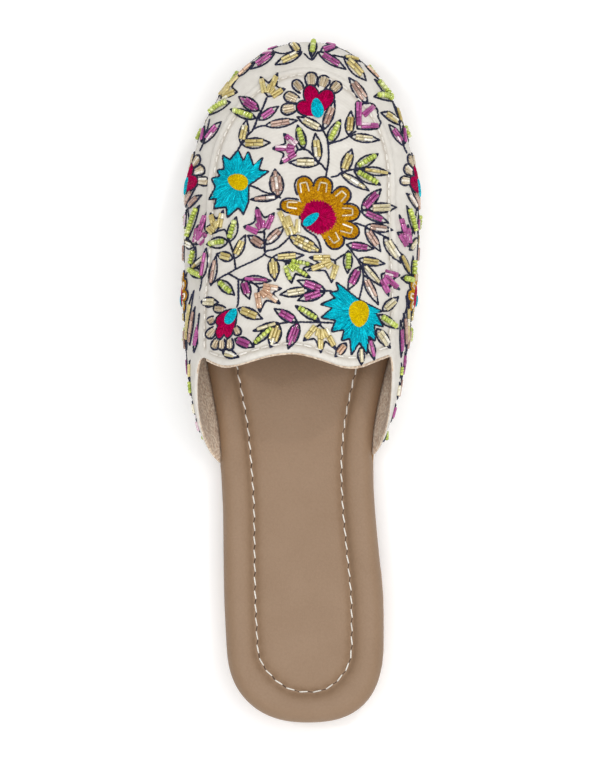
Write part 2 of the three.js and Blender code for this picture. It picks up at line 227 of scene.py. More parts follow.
outsole = copy_of_node("outsole", "outsole_leather")
apply_modifier(
    outsole, "BEVEL", width=0.5 * MM, segments=2, limit_method="ANGLE", angle_limit=math.radians(35)
)
smooth_by_angle(outsole, degrees=40)
outsole.data.materials.append(sole_leather())
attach(outsole, "root")
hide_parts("outsole")

# Footbed: foam padding under one piece of brown leatherette, its edge turned under and glued to
# the sole. A machine stitch 12 mm in from the edge pulls a groove that leaves a soft rim.

GROOVE_FOLD = math.radians(-45)
FOOTBED_MIDDLE = Vector((0, -12 * MM))
STITCH_PULL = 0.8 * MM
PULL_REACH = 2.0 * MM
FOOTBED_STITCH_PITCH = 5.1 * MM
FOOTBED_STITCH_LENGTH = 3.3 * MM
FOOTBED_STITCH_SLANT = -0.24 * MM
FOOTBED_STITCH_RADIUS = 0.28 * MM
FOOTBED_STITCH_LIFT = 0.12 * MM
FOOTBED_STITCH_ARCH = 0.3 * MM
FOOTBED_STITCH_TONES = (0.4, 1)
DARK_DASH_RADIUS = 0.2 * MM
DARK_DASH_TONES = (0, 0.6)
PAD_SECTIONS = np.arange(-62, -8, 1.25) * MM
PAD_SECTION_HALF = 0.9 * MM
PAD_SWELLS_AT = (-46, -42)
PAD_TUCKS_AT = (-30.5, -26.5)
PAD_ENDS_AT = (55, 62)
PAD_RIM = 9 * MM
PAD_RIM_CREST = 1 * MM
PAD_TUCKED = 1.45 * MM
PAD_OVERHANG = 0.1 * MM
BESIDE_SOLE_X = 60 * MM
SOLE_MIDDLE_Z = 5.2 * MM
LINE_STEP = 0.5 * MM
SHORTEST_STEP = 1 * MM
SHORTEST_ROD = 0.001 * MM
TINY = 1e-9


def surface_of(*pieces):
    """The pieces' faces as one tree that rays can be cast on."""
    points = []
    faces = []
    for piece in pieces:
        start = len(points)
        points.extend(vertex.co.copy() for vertex in piece.data.vertices)
        faces.extend([start + k for k in face.vertices] for face in piece.data.polygons)
    return BVHTree.FromPolygons(points, faces)


def run_along(line):
    """How far along a line each of its points lies."""
    return np.concatenate([[0], np.cumsum(np.linalg.norm(np.diff(line, axis=0), axis=1))])


def spaced(rows, run, spacing):
    """Rows of values along a line, read again at even steps of its run."""
    at = np.linspace(0, run[-1], max(1, round(run[-1] / spacing)) + 1)
    return np.stack([np.interp(at, run, column) for column in rows.T], axis=1)


def even_run(points, spacing, closed=False):
    """Points the same distance apart along a line."""
    line = np.array(points)
    if closed:
        line = np.vstack([line, line[:1]])
    return spaced(line, run_along(line), spacing)


def curve_through(points, closed=False, per_span=8):
    """A smooth line through a few points."""
    knots = np.array(points, float)
    count = len(knots)
    spans = count if closed else count - 1
    line = []
    for span in range(spans):
        near = [span - 1, span, span + 1, span + 2]
        near = [k % count for k in near] if closed else np.clip(near, 0, count - 1)
        a, b, c, d = knots[near]
        for t in np.arange(per_span) / per_span:
            line.append(
                b + (c - a) * t / 2 + (2 * a - 5 * b + 4 * c - d) * t**2 / 2
                + (3 * b - a - 3 * c + d) * t**3 / 2
            )
    if not closed:
        line.append(knots[-1])
    return np.array(line)


def groove_line(piece):
    """The footbed's groove, read from the sharply folded-in edges of its solid."""
    shape = bmesh.new()
    shape.from_mesh(piece.data)
    painted_seam_shade = [edge for edge in shape.edges if edge.calc_face_angle_signed(0) < GROOVE_FOLD]
    corners = {vertex for edge in painted_seam_shade for vertex in edge.verts}

    def bearing(point):
        return math.atan2(point.x - FOOTBED_MIDDLE.x, point.y - FOOTBED_MIDDLE.y)

    line = sorted((vertex.co.copy() for vertex in corners), key=bearing)
    shape.free()
    return curve_through(line, closed=True, per_span=6)


def points_of(piece):
    """A mesh's points and the normals there."""
    points = np.array([vertex.co for vertex in piece.data.vertices])
    return points, np.array([vertex.normal for vertex in piece.data.vertices])


def move_points(piece, points):
    piece.data.vertices.foreach_set("co", points.astype(np.float32).ravel())
    piece.data.update()


def pull_in(piece, line, pitch, pull, reach):
    """Draws a piece's skin down to the stitches along a line, and tells how near each point was."""
    fine = even_run(line, LINE_STEP)
    tree = KDTree(len(fine))
    for k, point in enumerate(fine):
        tree.insert(point, k)
    tree.balance()
    run = run_along(fine)
    points, normals = points_of(piece)
    nearest = [tree.find(point)[1:] for point in points]
    along = run[[k for k, _ in nearest]]
    near = np.exp(-((np.array([distance for _, distance in nearest]) / reach) ** 2))
    depth = pull * near * (0.5 + 0.5 * np.cos(math.pi * along / pitch) ** 2)
    move_points(piece, points - normals * depth[:, None])
    return near


def ramp(value, start, end):
    """A smooth rise from 0 to 1 between two values."""
    share = np.clip((value - start) / (end - start), 0, 1)
    return share * share * (3 - 2 * share)


def fill_out(piece, sole):
    """Swells the pad's side to the sole's edge as far as the upper, so that no sole shows beside it."""
    sole_skin = surface_of(sole)
    points, _ = points_of(piece)
    y = points[:, 1]
    steps = PAD_SECTIONS
    for side in (-1, 1):
        inward = Vector((-side, 0, 0))
        out = side * points[:, 0]
        edges = np.array([out[np.abs(y - step) < PAD_SECTION_HALF].max() for step in steps])
        beside = [Vector((side * BESIDE_SOLE_X, step, SOLE_MIDDLE_Z)) for step in steps]
        sole_edges = np.array([side * sole_skin.ray_cast(spot, inward)[0].x for spot in beside])
        tucked = ramp(steps / MM, *PAD_TUCKS_AT)
        swell = np.maximum(0, sole_edges + PAD_OVERHANG - edges) * (1 - tucked) + PAD_TUCKED * tucked
        swell *= ramp(steps / MM, *PAD_SWELLS_AT)
        edge = np.interp(y, steps, edges)
        near_edge = ramp(out, edge - PAD_RIM, edge - PAD_RIM_CREST)
        ahead = 1 - ramp(y / MM, *PAD_ENDS_AT)
        points[:, 0] += side * np.interp(y, steps, swell) * near_edge * ahead * (out > 0)
    move_points(piece, points)


class Threadwork:
    """Many small stitches or beads gathered in one mesh, each with a tone of its own."""

    def __init__(self):
        self.points = []
        self.faces = []
        self.tones = []
        self.count = 0

    def add(self, points, faces, tone):
        self.points.append(np.asarray(points))
        self.faces.extend([corner + self.count for corner in face] for face in faces)
        self.tones.append(np.full(len(points), tone))
        self.count += len(points)

    def rod(self, start, end, up, radius, shape, tone, arch=0.0):
        """A stitch or bead from start to end: shape says how thick it is along its length."""
        axis = end - start
        length = np.linalg.norm(axis)
        if length < SHORTEST_ROD:
            return
        axis = axis / length
        side = np.cross(up, axis)
        side /= max(np.linalg.norm(side), TINY)
        lift = np.cross(axis, side)
        ring = np.outer(shape.cos, side) + np.outer(shape.sin, lift)
        middle = start + np.outer(shape.along * length, axis)
        middle += np.outer(arch * np.sin(math.pi * shape.along), lift)
        points = middle[:, None, :] + radius * shape.thick[:, None, None] * ring[None, :, :]
        self.add(points.reshape(-1, 3), shape.faces, tone)

    def piece(self, name, material):
        mesh = bpy.data.meshes.new(name)
        mesh.from_pydata(np.concatenate(self.points).tolist(), [], self.faces)
        tones = mesh.attributes.new("tone", "FLOAT", "POINT")
        tones.data.foreach_set("value", np.concatenate(self.tones).astype(np.float32))
        mesh.materials.append(material)
        made = new_piece(name, mesh)
        smooth_by_angle(made, degrees=65)
        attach(made, "root")
        return made


class RodShape:
    """How a stitch or bead swells along its length, and how many sides it has."""

    def __init__(self, sides, *rings):
        self.along, self.thick = np.array(rings).T
        turn = np.arange(sides) * math.tau / sides
        self.cos, self.sin = np.cos(turn), np.sin(turn)
        last = (len(rings) - 1) * sides
        self.faces = [tuple(reversed(range(sides))), tuple(last + k for k in range(sides))]
        for row in range(len(rings) - 1):
            here = row * sides
            for k in range(sides):
                turned = (k + 1) % sides
                self.faces.append((here + k, here + turned, here + sides + turned, here + sides + k))


MACHINE_STITCH = RodShape(8, (0, 0.45), (0.08, 0.85), (0.3, 1), (0.7, 1), (0.92, 0.85), (1, 0.45))


def thread_finish(name, deep, bright, roughness=0.5, gloss=0.3):
    """Twisted embroidery thread: each stitch has its own tone, and fine plies catch the light, with
    flecks of painted sparkle in the colour.
    """
    finish = Finish(name, Specular_IOR_Level=gloss)
    tone = finish.attribute("tone")
    plies_and_painted_sparkle = finish.noise(0.45, 2)
    # The ply noise lightens and darkens the colour in fine flecks: painted sparkle of the twisted plies.
    share = tone * 0.65 + plies_and_painted_sparkle.steep(3) * 0.45 - 0.05
    finish.paint(finish.mix(share, colour(*deep), colour(*bright)), roughness - 0.1 + 0.2 * plies_and_painted_sparkle)
    finish.bump(plies_and_painted_sparkle, 0.05)
    return finish.material


def leatherette():
    brown = colour(157, 130, 105)
    deep_brown = colour(142, 115, 90)
    finish = Finish("footbed_leatherette", Specular_IOR_Level=0.35)
    pebbles = finish.cells(0.85)
    pores = finish.noise(0.22, 2)
    cloud = finish.noise(18, 4)
    hide = finish.mix(cloud * 0.7 + pebbles * 0.35, brown, deep_brown)
    finish.paint(hide, 0.42 + 0.16 * pores + 0.1 * cloud)
    finish.bump(pebbles * 0.7 + pores * 0.3, 0.09)
    return finish.material


footbed = copy_of_node("footbed", "footbed_pad")
groove = groove_line(footbed)
apply_modifier(footbed, "SUBSURF", levels=2, render_levels=2)
fill_out(footbed, outsole)
pull_in(footbed, groove, FOOTBED_STITCH_PITCH, STITCH_PULL, PULL_REACH)
smooth_by_angle(footbed, degrees=75)
footbed.data.materials.append(leatherette())
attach(footbed, "root")
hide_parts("footbed")

footbed_skin = surface_of(footbed)
footbed_stitches = Threadwork()
footbed_dark_dashes = Threadwork()
UP = np.array((0.0, 0.0, 1.0))
DROP = Vector((0, 0, -1))
PLUMB_TOP = 80 * MM


def met(skin, start, heading, *reach):
    """Where a ray meets a skin, and the normal there."""
    landed, normal, _, _ = skin.ray_cast(start, heading, *reach)
    return None if landed is None else (np.array(landed), np.array(normal))


def dropped(skin, spot):
    """Where a plumb line over a spot meets the skin."""
    return met(skin, Vector((spot[0], spot[1], PLUMB_TOP)), DROP)


holes = even_run(groove, FOOTBED_STITCH_PITCH, closed=True)
for here, there in zip(holes, np.roll(holes, -1, axis=0)):
    step = there - here
    if np.linalg.norm(step) < SHORTEST_STEP:
        continue
    slant = np.array((-step[1], step[0], 0)) / np.linalg.norm(step) * FOOTBED_STITCH_SLANT
    start, _ = dropped(footbed_skin, here + slant)
    end, _ = dropped(footbed_skin, here + step * FOOTBED_STITCH_LENGTH / FOOTBED_STITCH_PITCH - slant)
    after, _ = dropped(footbed_skin, there + slant)
    lifted = UP * FOOTBED_STITCH_LIFT
    footbed_stitches.rod(
        start + lifted, end + lifted, UP, FOOTBED_STITCH_RADIUS, MACHINE_STITCH,
        chance.uniform(*FOOTBED_STITCH_TONES), FOOTBED_STITCH_ARCH,
    )
    # Thin dark rods, half sunk in the pad, lie in the gaps between the cream stitches as dark dashes.
    footbed_dark_dashes.rod(end, after, UP, DARK_DASH_RADIUS, MACHINE_STITCH, chance.uniform(*DARK_DASH_TONES))
cream_thread = thread_finish("cream_thread", (206, 198, 186), (250, 246, 238))
footbed_stitches.piece("footbed_stitches", cream_thread)
dark_dash_finish = thread_finish("dark_dash_finish", (58, 44, 36), (104, 84, 70))
footbed_dark_dashes.piece("footbed_dark_dashes", dark_dash_finish)

# Upper: cream raw silk over a stiffened backing, lasted over the foot and turned under at the
# sole. It is lined with beige suede, and the silk is folded over the collar's edge.

LAST_HUB_Y = 62 * MM
LAST_MIDDLE_Z = 20 * MM
LINING_TURN = -0.3
LINING_BACK_Y = -20 * MM
THROAT_LINING_TURN = 0.3
THROAT_BACK_Y = 4 * MM
THROAT_FRONT_Y = 13.5 * MM
THROAT_LOW_Z = 36 * MM
FACES_UP = 0.5


def raw_silk():
    cream = colour(240, 236, 228)
    warm_grey = colour(196, 189, 179)
    seam_shade_grey = colour(176, 165, 150)
    thread = 0.42 * MM
    finish = Finish("cream_raw_silk", Sheen_Weight=0.1, Sheen_Roughness=0.5, Specular_IOR_Level=0.3)
    slub = finish.noise(2.4, 3)
    cloud = finish.noise(16, 3)
    ripple = finish.noise(9, 1)
    pucker_bump_and_shade = finish.noise(3.2, 2)
    fuzz = finish.noise(0.3, 2)
    waves = [(part * (math.tau / thread) + slub * 3).sine() for part in finish.axes(finish.place)]
    weave = (waves[0] + waves[1] + waves[2]) * 0.16 + 0.5
    # The pucker noise darkens the silk toward warm grey where it also bumps it: painted shade of small
    # wrinkles.
    shade = cloud * 0.4 + slub * 0.25 + pucker_bump_and_shade.steep(2) * 0.2 + weave * 0.2 - 0.15
    cloth = finish.mix(shade, cream, warm_grey)
    # Near the stitching the silk is painted grey: painted shade of the groove that the stitches pull.
    painted_seam_shade = finish.attribute("seam") * 0.6
    finish.paint(finish.mix(painted_seam_shade, cloth, seam_shade_grey), 0.72 + 0.15 * fuzz)
    finish.bump(weave * 0.6 + fuzz * 0.4 + ripple * 6 + pucker_bump_and_shade * 2.2, 0.1)
    return finish.material


def suede_lining():
    beige = colour(255, 238, 214)
    deep_beige = colour(200, 168, 138)
    finish = Finish("suede_lining", Sheen_Weight=0.3, Sheen_Roughness=0.6)
    nap = finish.noise(1.1, 5).steep(4)
    brushed = finish.noise(4, 4)
    finish.paint(finish.mix(nap * 0.7 + brushed.steep(2) * 0.3, beige, deep_beige), 0.95)
    finish.bump(nap, 0.22)
    return finish.material


def line_inside(piece):
    """Gives the inner faces, and the cut edge at the throat, to the lining."""
    for face in piece.data.polygons:
        heart = Vector((0, min(face.center.y, LAST_HUB_Y), LAST_MIDDLE_Z))
        outward = (face.center - heart).normalized().dot(face.normal)
        at_throat = THROAT_BACK_Y < face.center.y < THROAT_FRONT_Y and face.center.z > THROAT_LOW_Z
        face.material_index = int(outward < (THROAT_LINING_TURN if at_throat else LINING_TURN))


def line_sole(piece):
    """Carries the lining over the part of the sole that lies inside the upper."""
    for face in piece.data.polygons:
        face.material_index = int(face.normal.z > FACES_UP and face.center.y > LINING_BACK_Y)


silk = raw_silk()
suede = suede_lining()
upper = copy_of_node("upper", "upper_silk")
apply_modifier(upper, "SUBSURF", levels=2, render_levels=2)
smooth_by_angle(upper, degrees=80)
upper.data.materials.append(silk)
upper.data.materials.append(suede)
line_inside(upper)
outsole.data.materials.append(suede)
line_sole(outsole)
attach(upper, "root")
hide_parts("upper")

# Apron: a second layer of the silk lapped over the vamp, its edge turned under and held by a
# hand running stitch. At the throat it is folded over and topstitched.

SEAM_STITCH_INSET = 2.4 * MM
SEAM_STITCH_PITCH = 3.4 * MM
SEAM_STITCH_LENGTH = 2.3 * MM
THROAT_STITCH_PITCH = 4.0 * MM
THROAT_STITCH_LENGTH = 3.1 * MM
THROAT_STITCH_INSET = 3.0 * MM
APRON_STITCH_RADIUS = 0.34 * MM
APRON_STITCH_LIFT = 0.08 * MM
APRON_STITCH_ARCH = 0.2 * MM
APRON_STITCH_TONES = (0.2, 1)
STITCH_SLIP = 0.12
FAR_OUT = 90 * MM
HALVINGS = 24
THROAT_START_Y = 30 * MM
SEAM_PULL = 0.65 * MM
SEAM_REACH = 0.9 * MM
SEAM_YS = np.arange(13, 62, 4) * MM
SEAM_TURNS = np.radians(np.arange(180, -1, -6))
THROAT_XS = np.arange(-32, 33.5, 3.25) * MM

apron = copy_of_node("apron", "apron_silk")
apply_modifier(apron, "SUBSURF", levels=3, render_levels=3)
apron_skin = surface_of(apron)


def edge_out(start, heading, inset):
    """The spot a little inside the apron's edge, going out from a start over it."""
    inside = 0.0
    outside = FAR_OUT
    for _ in range(HALVINGS):
        middle = (inside + outside) / 2
        if dropped(apron_skin, start + heading * middle) is None:
            outside = middle
        else:
            inside = middle
    return start + heading * (inside - inset)


def seam_line():
    """Plan points of the running stitch, from the lateral throat corner round to the medial one."""
    rays = [((0, y), (-1, 0)) for y in SEAM_YS]
    rays += [((0, LAST_HUB_Y), (math.cos(turn), math.sin(turn))) for turn in SEAM_TURNS]
    rays += [((0, y), (1, 0)) for y in SEAM_YS[::-1]]
    return [edge_out(np.array(start), np.array(heading), SEAM_STITCH_INSET) for start, heading in rays]


def throat_edge(x, inset):
    """The spot a little inside the throat's edge."""
    return edge_out(np.array((x, THROAT_START_Y)), np.array((0, -1)), inset)


def running_stitch(work, spots, pitch, length):
    """A stitch at every pitch along a plan line, lying on the apron."""
    line = even_run(curve_through(spots), pitch)
    for here, there in zip(line[:-1], line[1:]):
        slip = chance.uniform(-STITCH_SLIP, STITCH_SLIP)
        start = dropped(apron_skin, here + (there - here) * slip)
        end = dropped(apron_skin, here + (there - here) * (length / pitch + slip))
        if start is None or end is None:
            continue
        up = (start[1] + end[1]) / 2
        lifted = up * APRON_STITCH_LIFT
        work.rod(
            start[0] + lifted, end[0] + lifted, up, APRON_STITCH_RADIUS, MACHINE_STITCH,
            chance.uniform(*APRON_STITCH_TONES), APRON_STITCH_ARCH,
        )


def on_apron(spots):
    """A smooth line over the apron through plan points."""
    found = [dropped(apron_skin, spot) for spot in even_run(curve_through(spots), LINE_STEP)]
    return [spot[0] for spot in found if spot is not None]


seam = seam_line()
throat = [throat_edge(x, THROAT_STITCH_INSET) for x in THROAT_XS]
seam_shade_share = np.zeros(len(apron.data.vertices))
for spots, pitch in ((seam, SEAM_STITCH_PITCH), (throat, THROAT_STITCH_PITCH)):
    seam_shade_share = np.maximum(seam_shade_share, pull_in(apron, on_apron(spots), pitch, SEAM_PULL, SEAM_REACH))
# How near each point lies to the stitching is kept as the seam attribute, which paints shade along the
# seams in the silk.
apron.data.attributes.new("seam", "FLOAT", "POINT").data.foreach_set("value", seam_shade_share.astype(np.float32))
smooth_by_angle(apron, degrees=80)
apron.data.materials.append(silk)
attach(apron, "root")
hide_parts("apron")
apron_skin = surface_of(apron)

apron_stitches = Threadwork()
running_stitch(apron_stitches, seam, SEAM_STITCH_PITCH, SEAM_STITCH_LENGTH)
running_stitch(apron_stitches, throat, THROAT_STITCH_PITCH, THROAT_STITCH_LENGTH)
white_thread = thread_finish("white_thread", (205, 198, 188), (250, 247, 240))
apron_stitches.piece("apron_stitches", white_thread)

# Lining edge: the suede lining is cut a little long and shows as a raw beige edge under the folded
# silk of the throat. It is glued to the inside of the vamp.

LINING_EDGE_RADIUS = 0.75 * MM
LINING_EDGE_OUT = 0.15 * MM
LINING_EDGE_RISE = 0.5 * MM
LINING_EDGE_STEP = 0.8 * MM
LINING_EDGE_XS = np.arange(-33, 33.5, 1.5) * MM
LINING_EDGE_UNEVEN = (0.9, 1.08)
UNDER_VAMP = 1.0 * MM
UNDER_VAMP_Z = 25 * MM

upper_skin = surface_of(upper)
edge_points = []
for x in LINING_EDGE_XS:
    spot = throat_edge(x, 0.0)
    under = met(upper_skin, Vector((spot[0], spot[1] + UNDER_VAMP, UNDER_VAMP_Z)), -DROP)
    if under is not None:
        edge_points.append((spot[0], spot[1] - LINING_EDGE_OUT, under[0][2] + LINING_EDGE_RISE))
edge_points = even_run(curve_through(edge_points), LINING_EDGE_STEP)
edge_curve = bpy.data.curves.new("lining_edge", "CURVE")
edge_curve.dimensions = "3D"
edge_curve.bevel_depth = LINING_EDGE_RADIUS
edge_curve.bevel_resolution = 3
edge_curve.use_fill_caps = True
spline = edge_curve.splines.new("POLY")
spline.points.add(len(edge_points) - 1)
for knot, point in zip(spline.points, edge_points):
    knot.co = (*point, 1)
    knot.radius = chance.uniform(*LINING_EDGE_UNEVEN)
lining_edge = new_piece("lining_edge", edge_curve)
take_up(lining_edge)
bpy.ops.object.convert(target="MESH")
lining_edge = bpy.context.object
bpy.ops.object.shade_smooth()
lining_edge.data.materials.append(suede)
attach(lining_edge, "root")

# Embroidery chart: the pattern is drawn flat, as seen from high above the shoe, and each stitch
# and bead is then laid on the silk under its place. Chart sizes are in millimetres.

EYE = Vector((52, 0.75, 1150)) * MM
CHART_HEIGHT = 45
TOE_HALF_WIDTH = 43.3
TOE_REACH = 65.25
WALL_START_REACH = 60 * MM
WALL_DEPTH = 34 * MM
START_OUT = 0.4
SHORTEST_LINE = 0.3 * MM
QUARTER_STEPS = 200

silk_skin = surface_of(upper, apron)


def on_vamp(x, y):
    """Where a chart spot on the vamp lands on the silk."""
    heading = (Vector((x, y, CHART_HEIGHT)) * MM - EYE).normalized()
    return met(silk_skin, EYE, heading)


quarter = np.linspace(0, math.pi / 2, QUARTER_STEPS)
quarter_x = TOE_HALF_WIDTH * np.sin(quarter)
quarter_y = LAST_HUB_Y / MM + TOE_REACH * np.cos(quarter)
quarter_run = run_along(np.stack([quarter_x, quarter_y], axis=1))


def on_wall(side):
    """The wall's chart: the run back from the toe, and the height above the floor."""

    def place(run, height):
        sign = side if run >= 0 else -side
        run = abs(run)
        if run <= quarter_run[-1]:
            turn = np.interp(run, quarter_run, quarter)
            hub = Vector((0, LAST_HUB_Y / MM, height)) * MM
            out = Vector((sign * TOE_HALF_WIDTH * math.sin(turn), TOE_REACH * math.cos(turn), 0)) * MM
            start = hub + out * (1 + START_OUT)
            heading = -out.normalized()
            reach = START_OUT * out.length + WALL_DEPTH
        else:
            y = LAST_HUB_Y - (run - quarter_run[-1]) * MM
            start = Vector((sign * WALL_START_REACH, y, height * MM))
            heading = Vector((-sign, 0, 0))
            reach = WALL_DEPTH
        return met(silk_skin, start, heading, reach)

    return place


def moved_to(place, chart_from, chart_to, turn=0.0, scale=1.0):
    """A place for a motif of the vamp's chart drawn again elsewhere, turned and scaled."""
    cos, sin = math.cos(math.radians(turn)) * scale, math.sin(math.radians(turn)) * scale

    def moved(x, y):
        across, along = x - chart_from[0], y - chart_from[1]
        return place(
            chart_to[0] + across * cos - along * sin, chart_to[1] + across * sin + along * cos
        )

    return moved


def laid(place, line, spacing, lift=0.0):
    """A chart line laid on the silk: points an even distance apart, and the normals there."""
    landed = [found for found in (place(*spot) for spot in line) if found is not None]
    if len(landed) < 2:
        return None
    joined = np.array([np.concatenate([point, normal * MM]) for point, normal in landed])
    run = run_along(joined[:, :3])
    if run[-1] < SHORTEST_LINE:
        return None
    even = spaced(joined, run, spacing)
    normals = even[:, 3:] / np.linalg.norm(even[:, 3:], axis=1, keepdims=True)
    return even[:, :3] + normals * lift, normals


def dense(points, closed=False, spacing=0.5):
    """Straight chart edges cut into short steps."""
    line = np.array(points, float)
    if closed:
        line = np.vstack([line, line[:1]])
    steps = []
    for start, end in zip(line[:-1], line[1:]):
        count = max(1, round(np.linalg.norm(end - start) / spacing))
        steps.extend(start + (end - start) * k / count for k in range(count))
    steps.append(line[-1])
    return np.array(steps)


# Outlines and stems: dark navy cotton in stem stitch, worked by hand over a drawn pattern. Each
# stitch starts a little before the last one ends, so the line looks like a twisted cord.

STEM_STITCH = RodShape(5, (0, 0.62), (0.5, 1), (1, 0.62))
STEM_STITCH_PITCH = 1.25 * MM
STEM_STITCH_LAP = 0.22
STEM_RADIUS = 0.46 * MM
STEM_LIFT = 0.06 * MM
STEM_TWIST = 0.06 * MM
STEM_ARCH = 0.1 * MM
STEM_UNEVEN = (0.85, 1.12)

navy = Threadwork()


def stem_stitch(place, line, lift=STEM_LIFT):
    found = laid(place, line, STEM_STITCH_PITCH, lift)
    if found is None:
        return
    points, normals = found
    for k in range(len(points) - 1):
        step = points[k + 1] - points[k]
        across = np.cross(normals[k], step)
        across *= (STEM_TWIST if k % 2 else -STEM_TWIST) / max(np.linalg.norm(across), TINY)
        start = points[k] - step * STEM_STITCH_LAP + across
        end = points[k + 1] + step * STEM_STITCH_LAP - across
        radius = STEM_RADIUS * chance.uniform(*STEM_UNEVEN)
        navy.rod(start, end, normals[k], radius, STEM_STITCH, chance.random(), STEM_ARCH)


def stem(place, knots):
    stem_stitch(place, curve_through(knots))


def embroider(motif, vamp, lateral, medial, both=()):
    """Works one kind of motif over the vamp and then down each wall."""
    for row in vamp:
        motif(on_vamp, row)
    for side, rows in ((-1, lateral), (1, medial)):
        for row in (*rows, *both):
            motif(on_wall(side), row)


STEMS = [
    [(-11.5, 103.8), (-13, 100), (-14.7, 97), (-15.5, 94.5), (-17, 91.5), (-19.5, 89.5), (-20.7, 87.2),
     (-21.9, 85)],
    [(-16, 92.6), (-14, 93.5), (-11.9, 93.7)],
    [(8.9, 92), (10.4, 89), (10.8, 86.5), (11, 82), (10.5, 78), (10, 75.2)],
    [(10, 77.5), (8.5, 79.5), (7.3, 80.4), (6, 82), (4, 84.2), (2.1, 85.2), (0.3, 84.9)],
    [(10.8, 86.7), (13, 87.6), (15.5, 88.3), (18.3, 89.7), (20.8, 91.5)],
    [(12, 75), (14, 75.3), (15.4, 76.4), (18, 77.3), (20.3, 77.7), (23.3, 77.7)],
    [(-17.8, 72), (-15, 71), (-12.5, 69.6), (-9.8, 68.9), (-6.5, 67.5)],
    [(-31.8, 54.3), (-27, 56), (-25.9, 54.2), (-25, 51.6), (-24.4, 49.8), (-23.7, 47.5), (-23.2, 45.1),
     (-22.8, 41.6)],
    [(-31.8, 36), (-30, 37.3), (-28, 38.7), (-25.5, 40), (-22.7, 41.6), (-20, 42.9), (-15, 45.2),
     (-12.3, 46.9), (-12, 48), (-7.6, 49.2), (-3.3, 53)],
    [(-25.5, 40), (-23, 38.6), (-21.5, 37.7), (-20, 37.7)],
    [(-21.8, 37.7), (-21.8, 30), (-22.3, 27.8)],
    [(-17.5, 37), (-15.5, 35.8), (-14.4, 34.8)],
    [(-12.3, 55), (-12.4, 51.5), (-12.2, 48)],
    [(-12.4, 47), (-11, 46), (-9.8, 45.8)],
    [(-6.5, 45.2), (-5.5, 44.5), (-3.3, 43.5)],
    [(9.8, 33.6), (12, 33.6)],
    [(20.6, 58.3), (24.3, 57)],
    [(27.1, 55.4), (31, 53.5), (33.9, 52)],
    [(17.5, 50.5), (18.6, 49.2), (20, 47), (21.5, 45), (22.5, 43), (23.3, 41), (23.6, 38.5),
     (23, 34.5), (22, 30.5)],
    [(13.3, 44.6), (15, 45.8), (17, 47)],
    [(-7.3, 21.6), (-4, 22.2), (-0.3, 22.3), (6, 22.2), (12.5, 22)],
    [(7.5, 23), (8, 21.5)],
    [(-8.6, 120.4), (-5, 119.8), (-1.5, 121)],
    [(2.2, 119.8), (4.9, 117.5), (7, 120.2)],
    [(4.7, 120.3), (4.9, 117.5)],
    [(12.5, 119.2), (14.5, 118.8), (16.4, 118.4)],
]
LATERAL_STEMS = [
    [(47.5, 25), (50.6, 26.5), (53.1, 26.8), (56.5, 27.8), (60, 27.5)],
    [(83, 27), (89, 30), (95.4, 29.6), (97.2, 36.4)],
    [(105.8, 33), (108.5, 30.5)],
    [(109.4, 43), (112.5, 43.4), (117, 42)],
]
MEDIAL_STEMS = [
    [(42.3, 21), (45.5, 22.8), (49.5, 23.6), (53, 25), (58.8, 26.6), (62, 26)],
    [(83.4, 24.8), (90, 28.5), (97.8, 32.6)],
    [(107.7, 32.5), (109.8, 30)],
    [(116.2, 35), (119.7, 34), (122.2, 35.2), (125.7, 37.5)],
]
WALL_STEMS = [
    [(0, 15.5), (8, 17), (18, 17.5), (30, 17), (42, 16.8), (52, 16), (60, 13.5), (70, 11.5), (79, 13)],
    [(79, 13), (84, 16.5), (92, 19), (100, 18.5), (106, 15), (112, 11.5)],
    [(122, 12), (128, 16), (135, 18.5), (144, 18.5), (154, 17), (165, 13.5), (171, 11)],
    [(126, 22), (133, 24.5), (141, 23), (147, 19)],
]

embroider(stem, STEMS, LATERAL_STEMS, MEDIAL_STEMS, WALL_STEMS)

# Beaded leaves: glass bugle beads couched lengthwise inside a navy outline, and lime seed beads
# strung like ears of corn. Some silk shows beside the beads.

BUGLE = RodShape(8, (0, 0.55), (0.02, 0.88), (0.07, 1), (0.93, 1), (0.98, 0.88), (1, 0.55))
SEED = RodShape(8, (0, 0.5), (0.14, 0.86), (0.5, 1), (0.86, 0.86), (1, 0.5))
BUGLE_RADIUS = (0.5, 0.66)
BUGLE_LENGTH = 3.5
BUGLE_SPACING = 1.95
BUGLE_ROOM = 0.9
STRAND_SPACING = 1.05
STRAND_ROOM = 1.35
STRAND_MARGIN = 0.44
STRAND_LEAN = 0.4
LEAN_ROOM = 1.1
MOST_STRANDS = 3
SHORTEST_STRAND = 1.4
SEED_RADIUS = (0.7, 1.12)
SEED_LENGTH = 1.3
SEED_MARGIN = 0.38
SEED_START = 1.1
BEAD_LIFT = 0.9
BEAD_GAP = 0.05 * MM
BEAD_UNEVEN = 0.3
BEAD_SIZES = (0.94, 1.04)
BARE_STRAND = 2.0
LEAF_STEPS = 15
LEAF_POINT = 0.35
LEAF_SKEW = 0.9
LEAF_FULLNESS = 0.8
ROOM_STEPS = 41

BEAD_COLOURS = {
    "gold": ((186, 160, 82), (232, 218, 154)),
    "pale": ((198, 184, 134), (242, 234, 208)),
    "champagne": ((164, 138, 100), (242, 228, 198)),
    "rose": ((160, 122, 108), (214, 182, 164)),
    "peach": ((192, 146, 114), (232, 198, 168)),
    "magenta": ((130, 30, 102), (208, 98, 174)),
    "lime": ((150, 172, 44), (216, 228, 112)),
}
beads = {name: Threadwork() for name in BEAD_COLOURS}


def across_of(spine):
    """One step to the left of a chart line's heading."""
    return np.array((-spine[1], spine[0])) / np.linalg.norm(spine)


def leaf_half(width, share):
    """Half the width of a leaf part of the way from its base to its tip."""
    return width / 2 * math.sin(math.pi * share**LEAF_SKEW) ** LEAF_FULLNESS


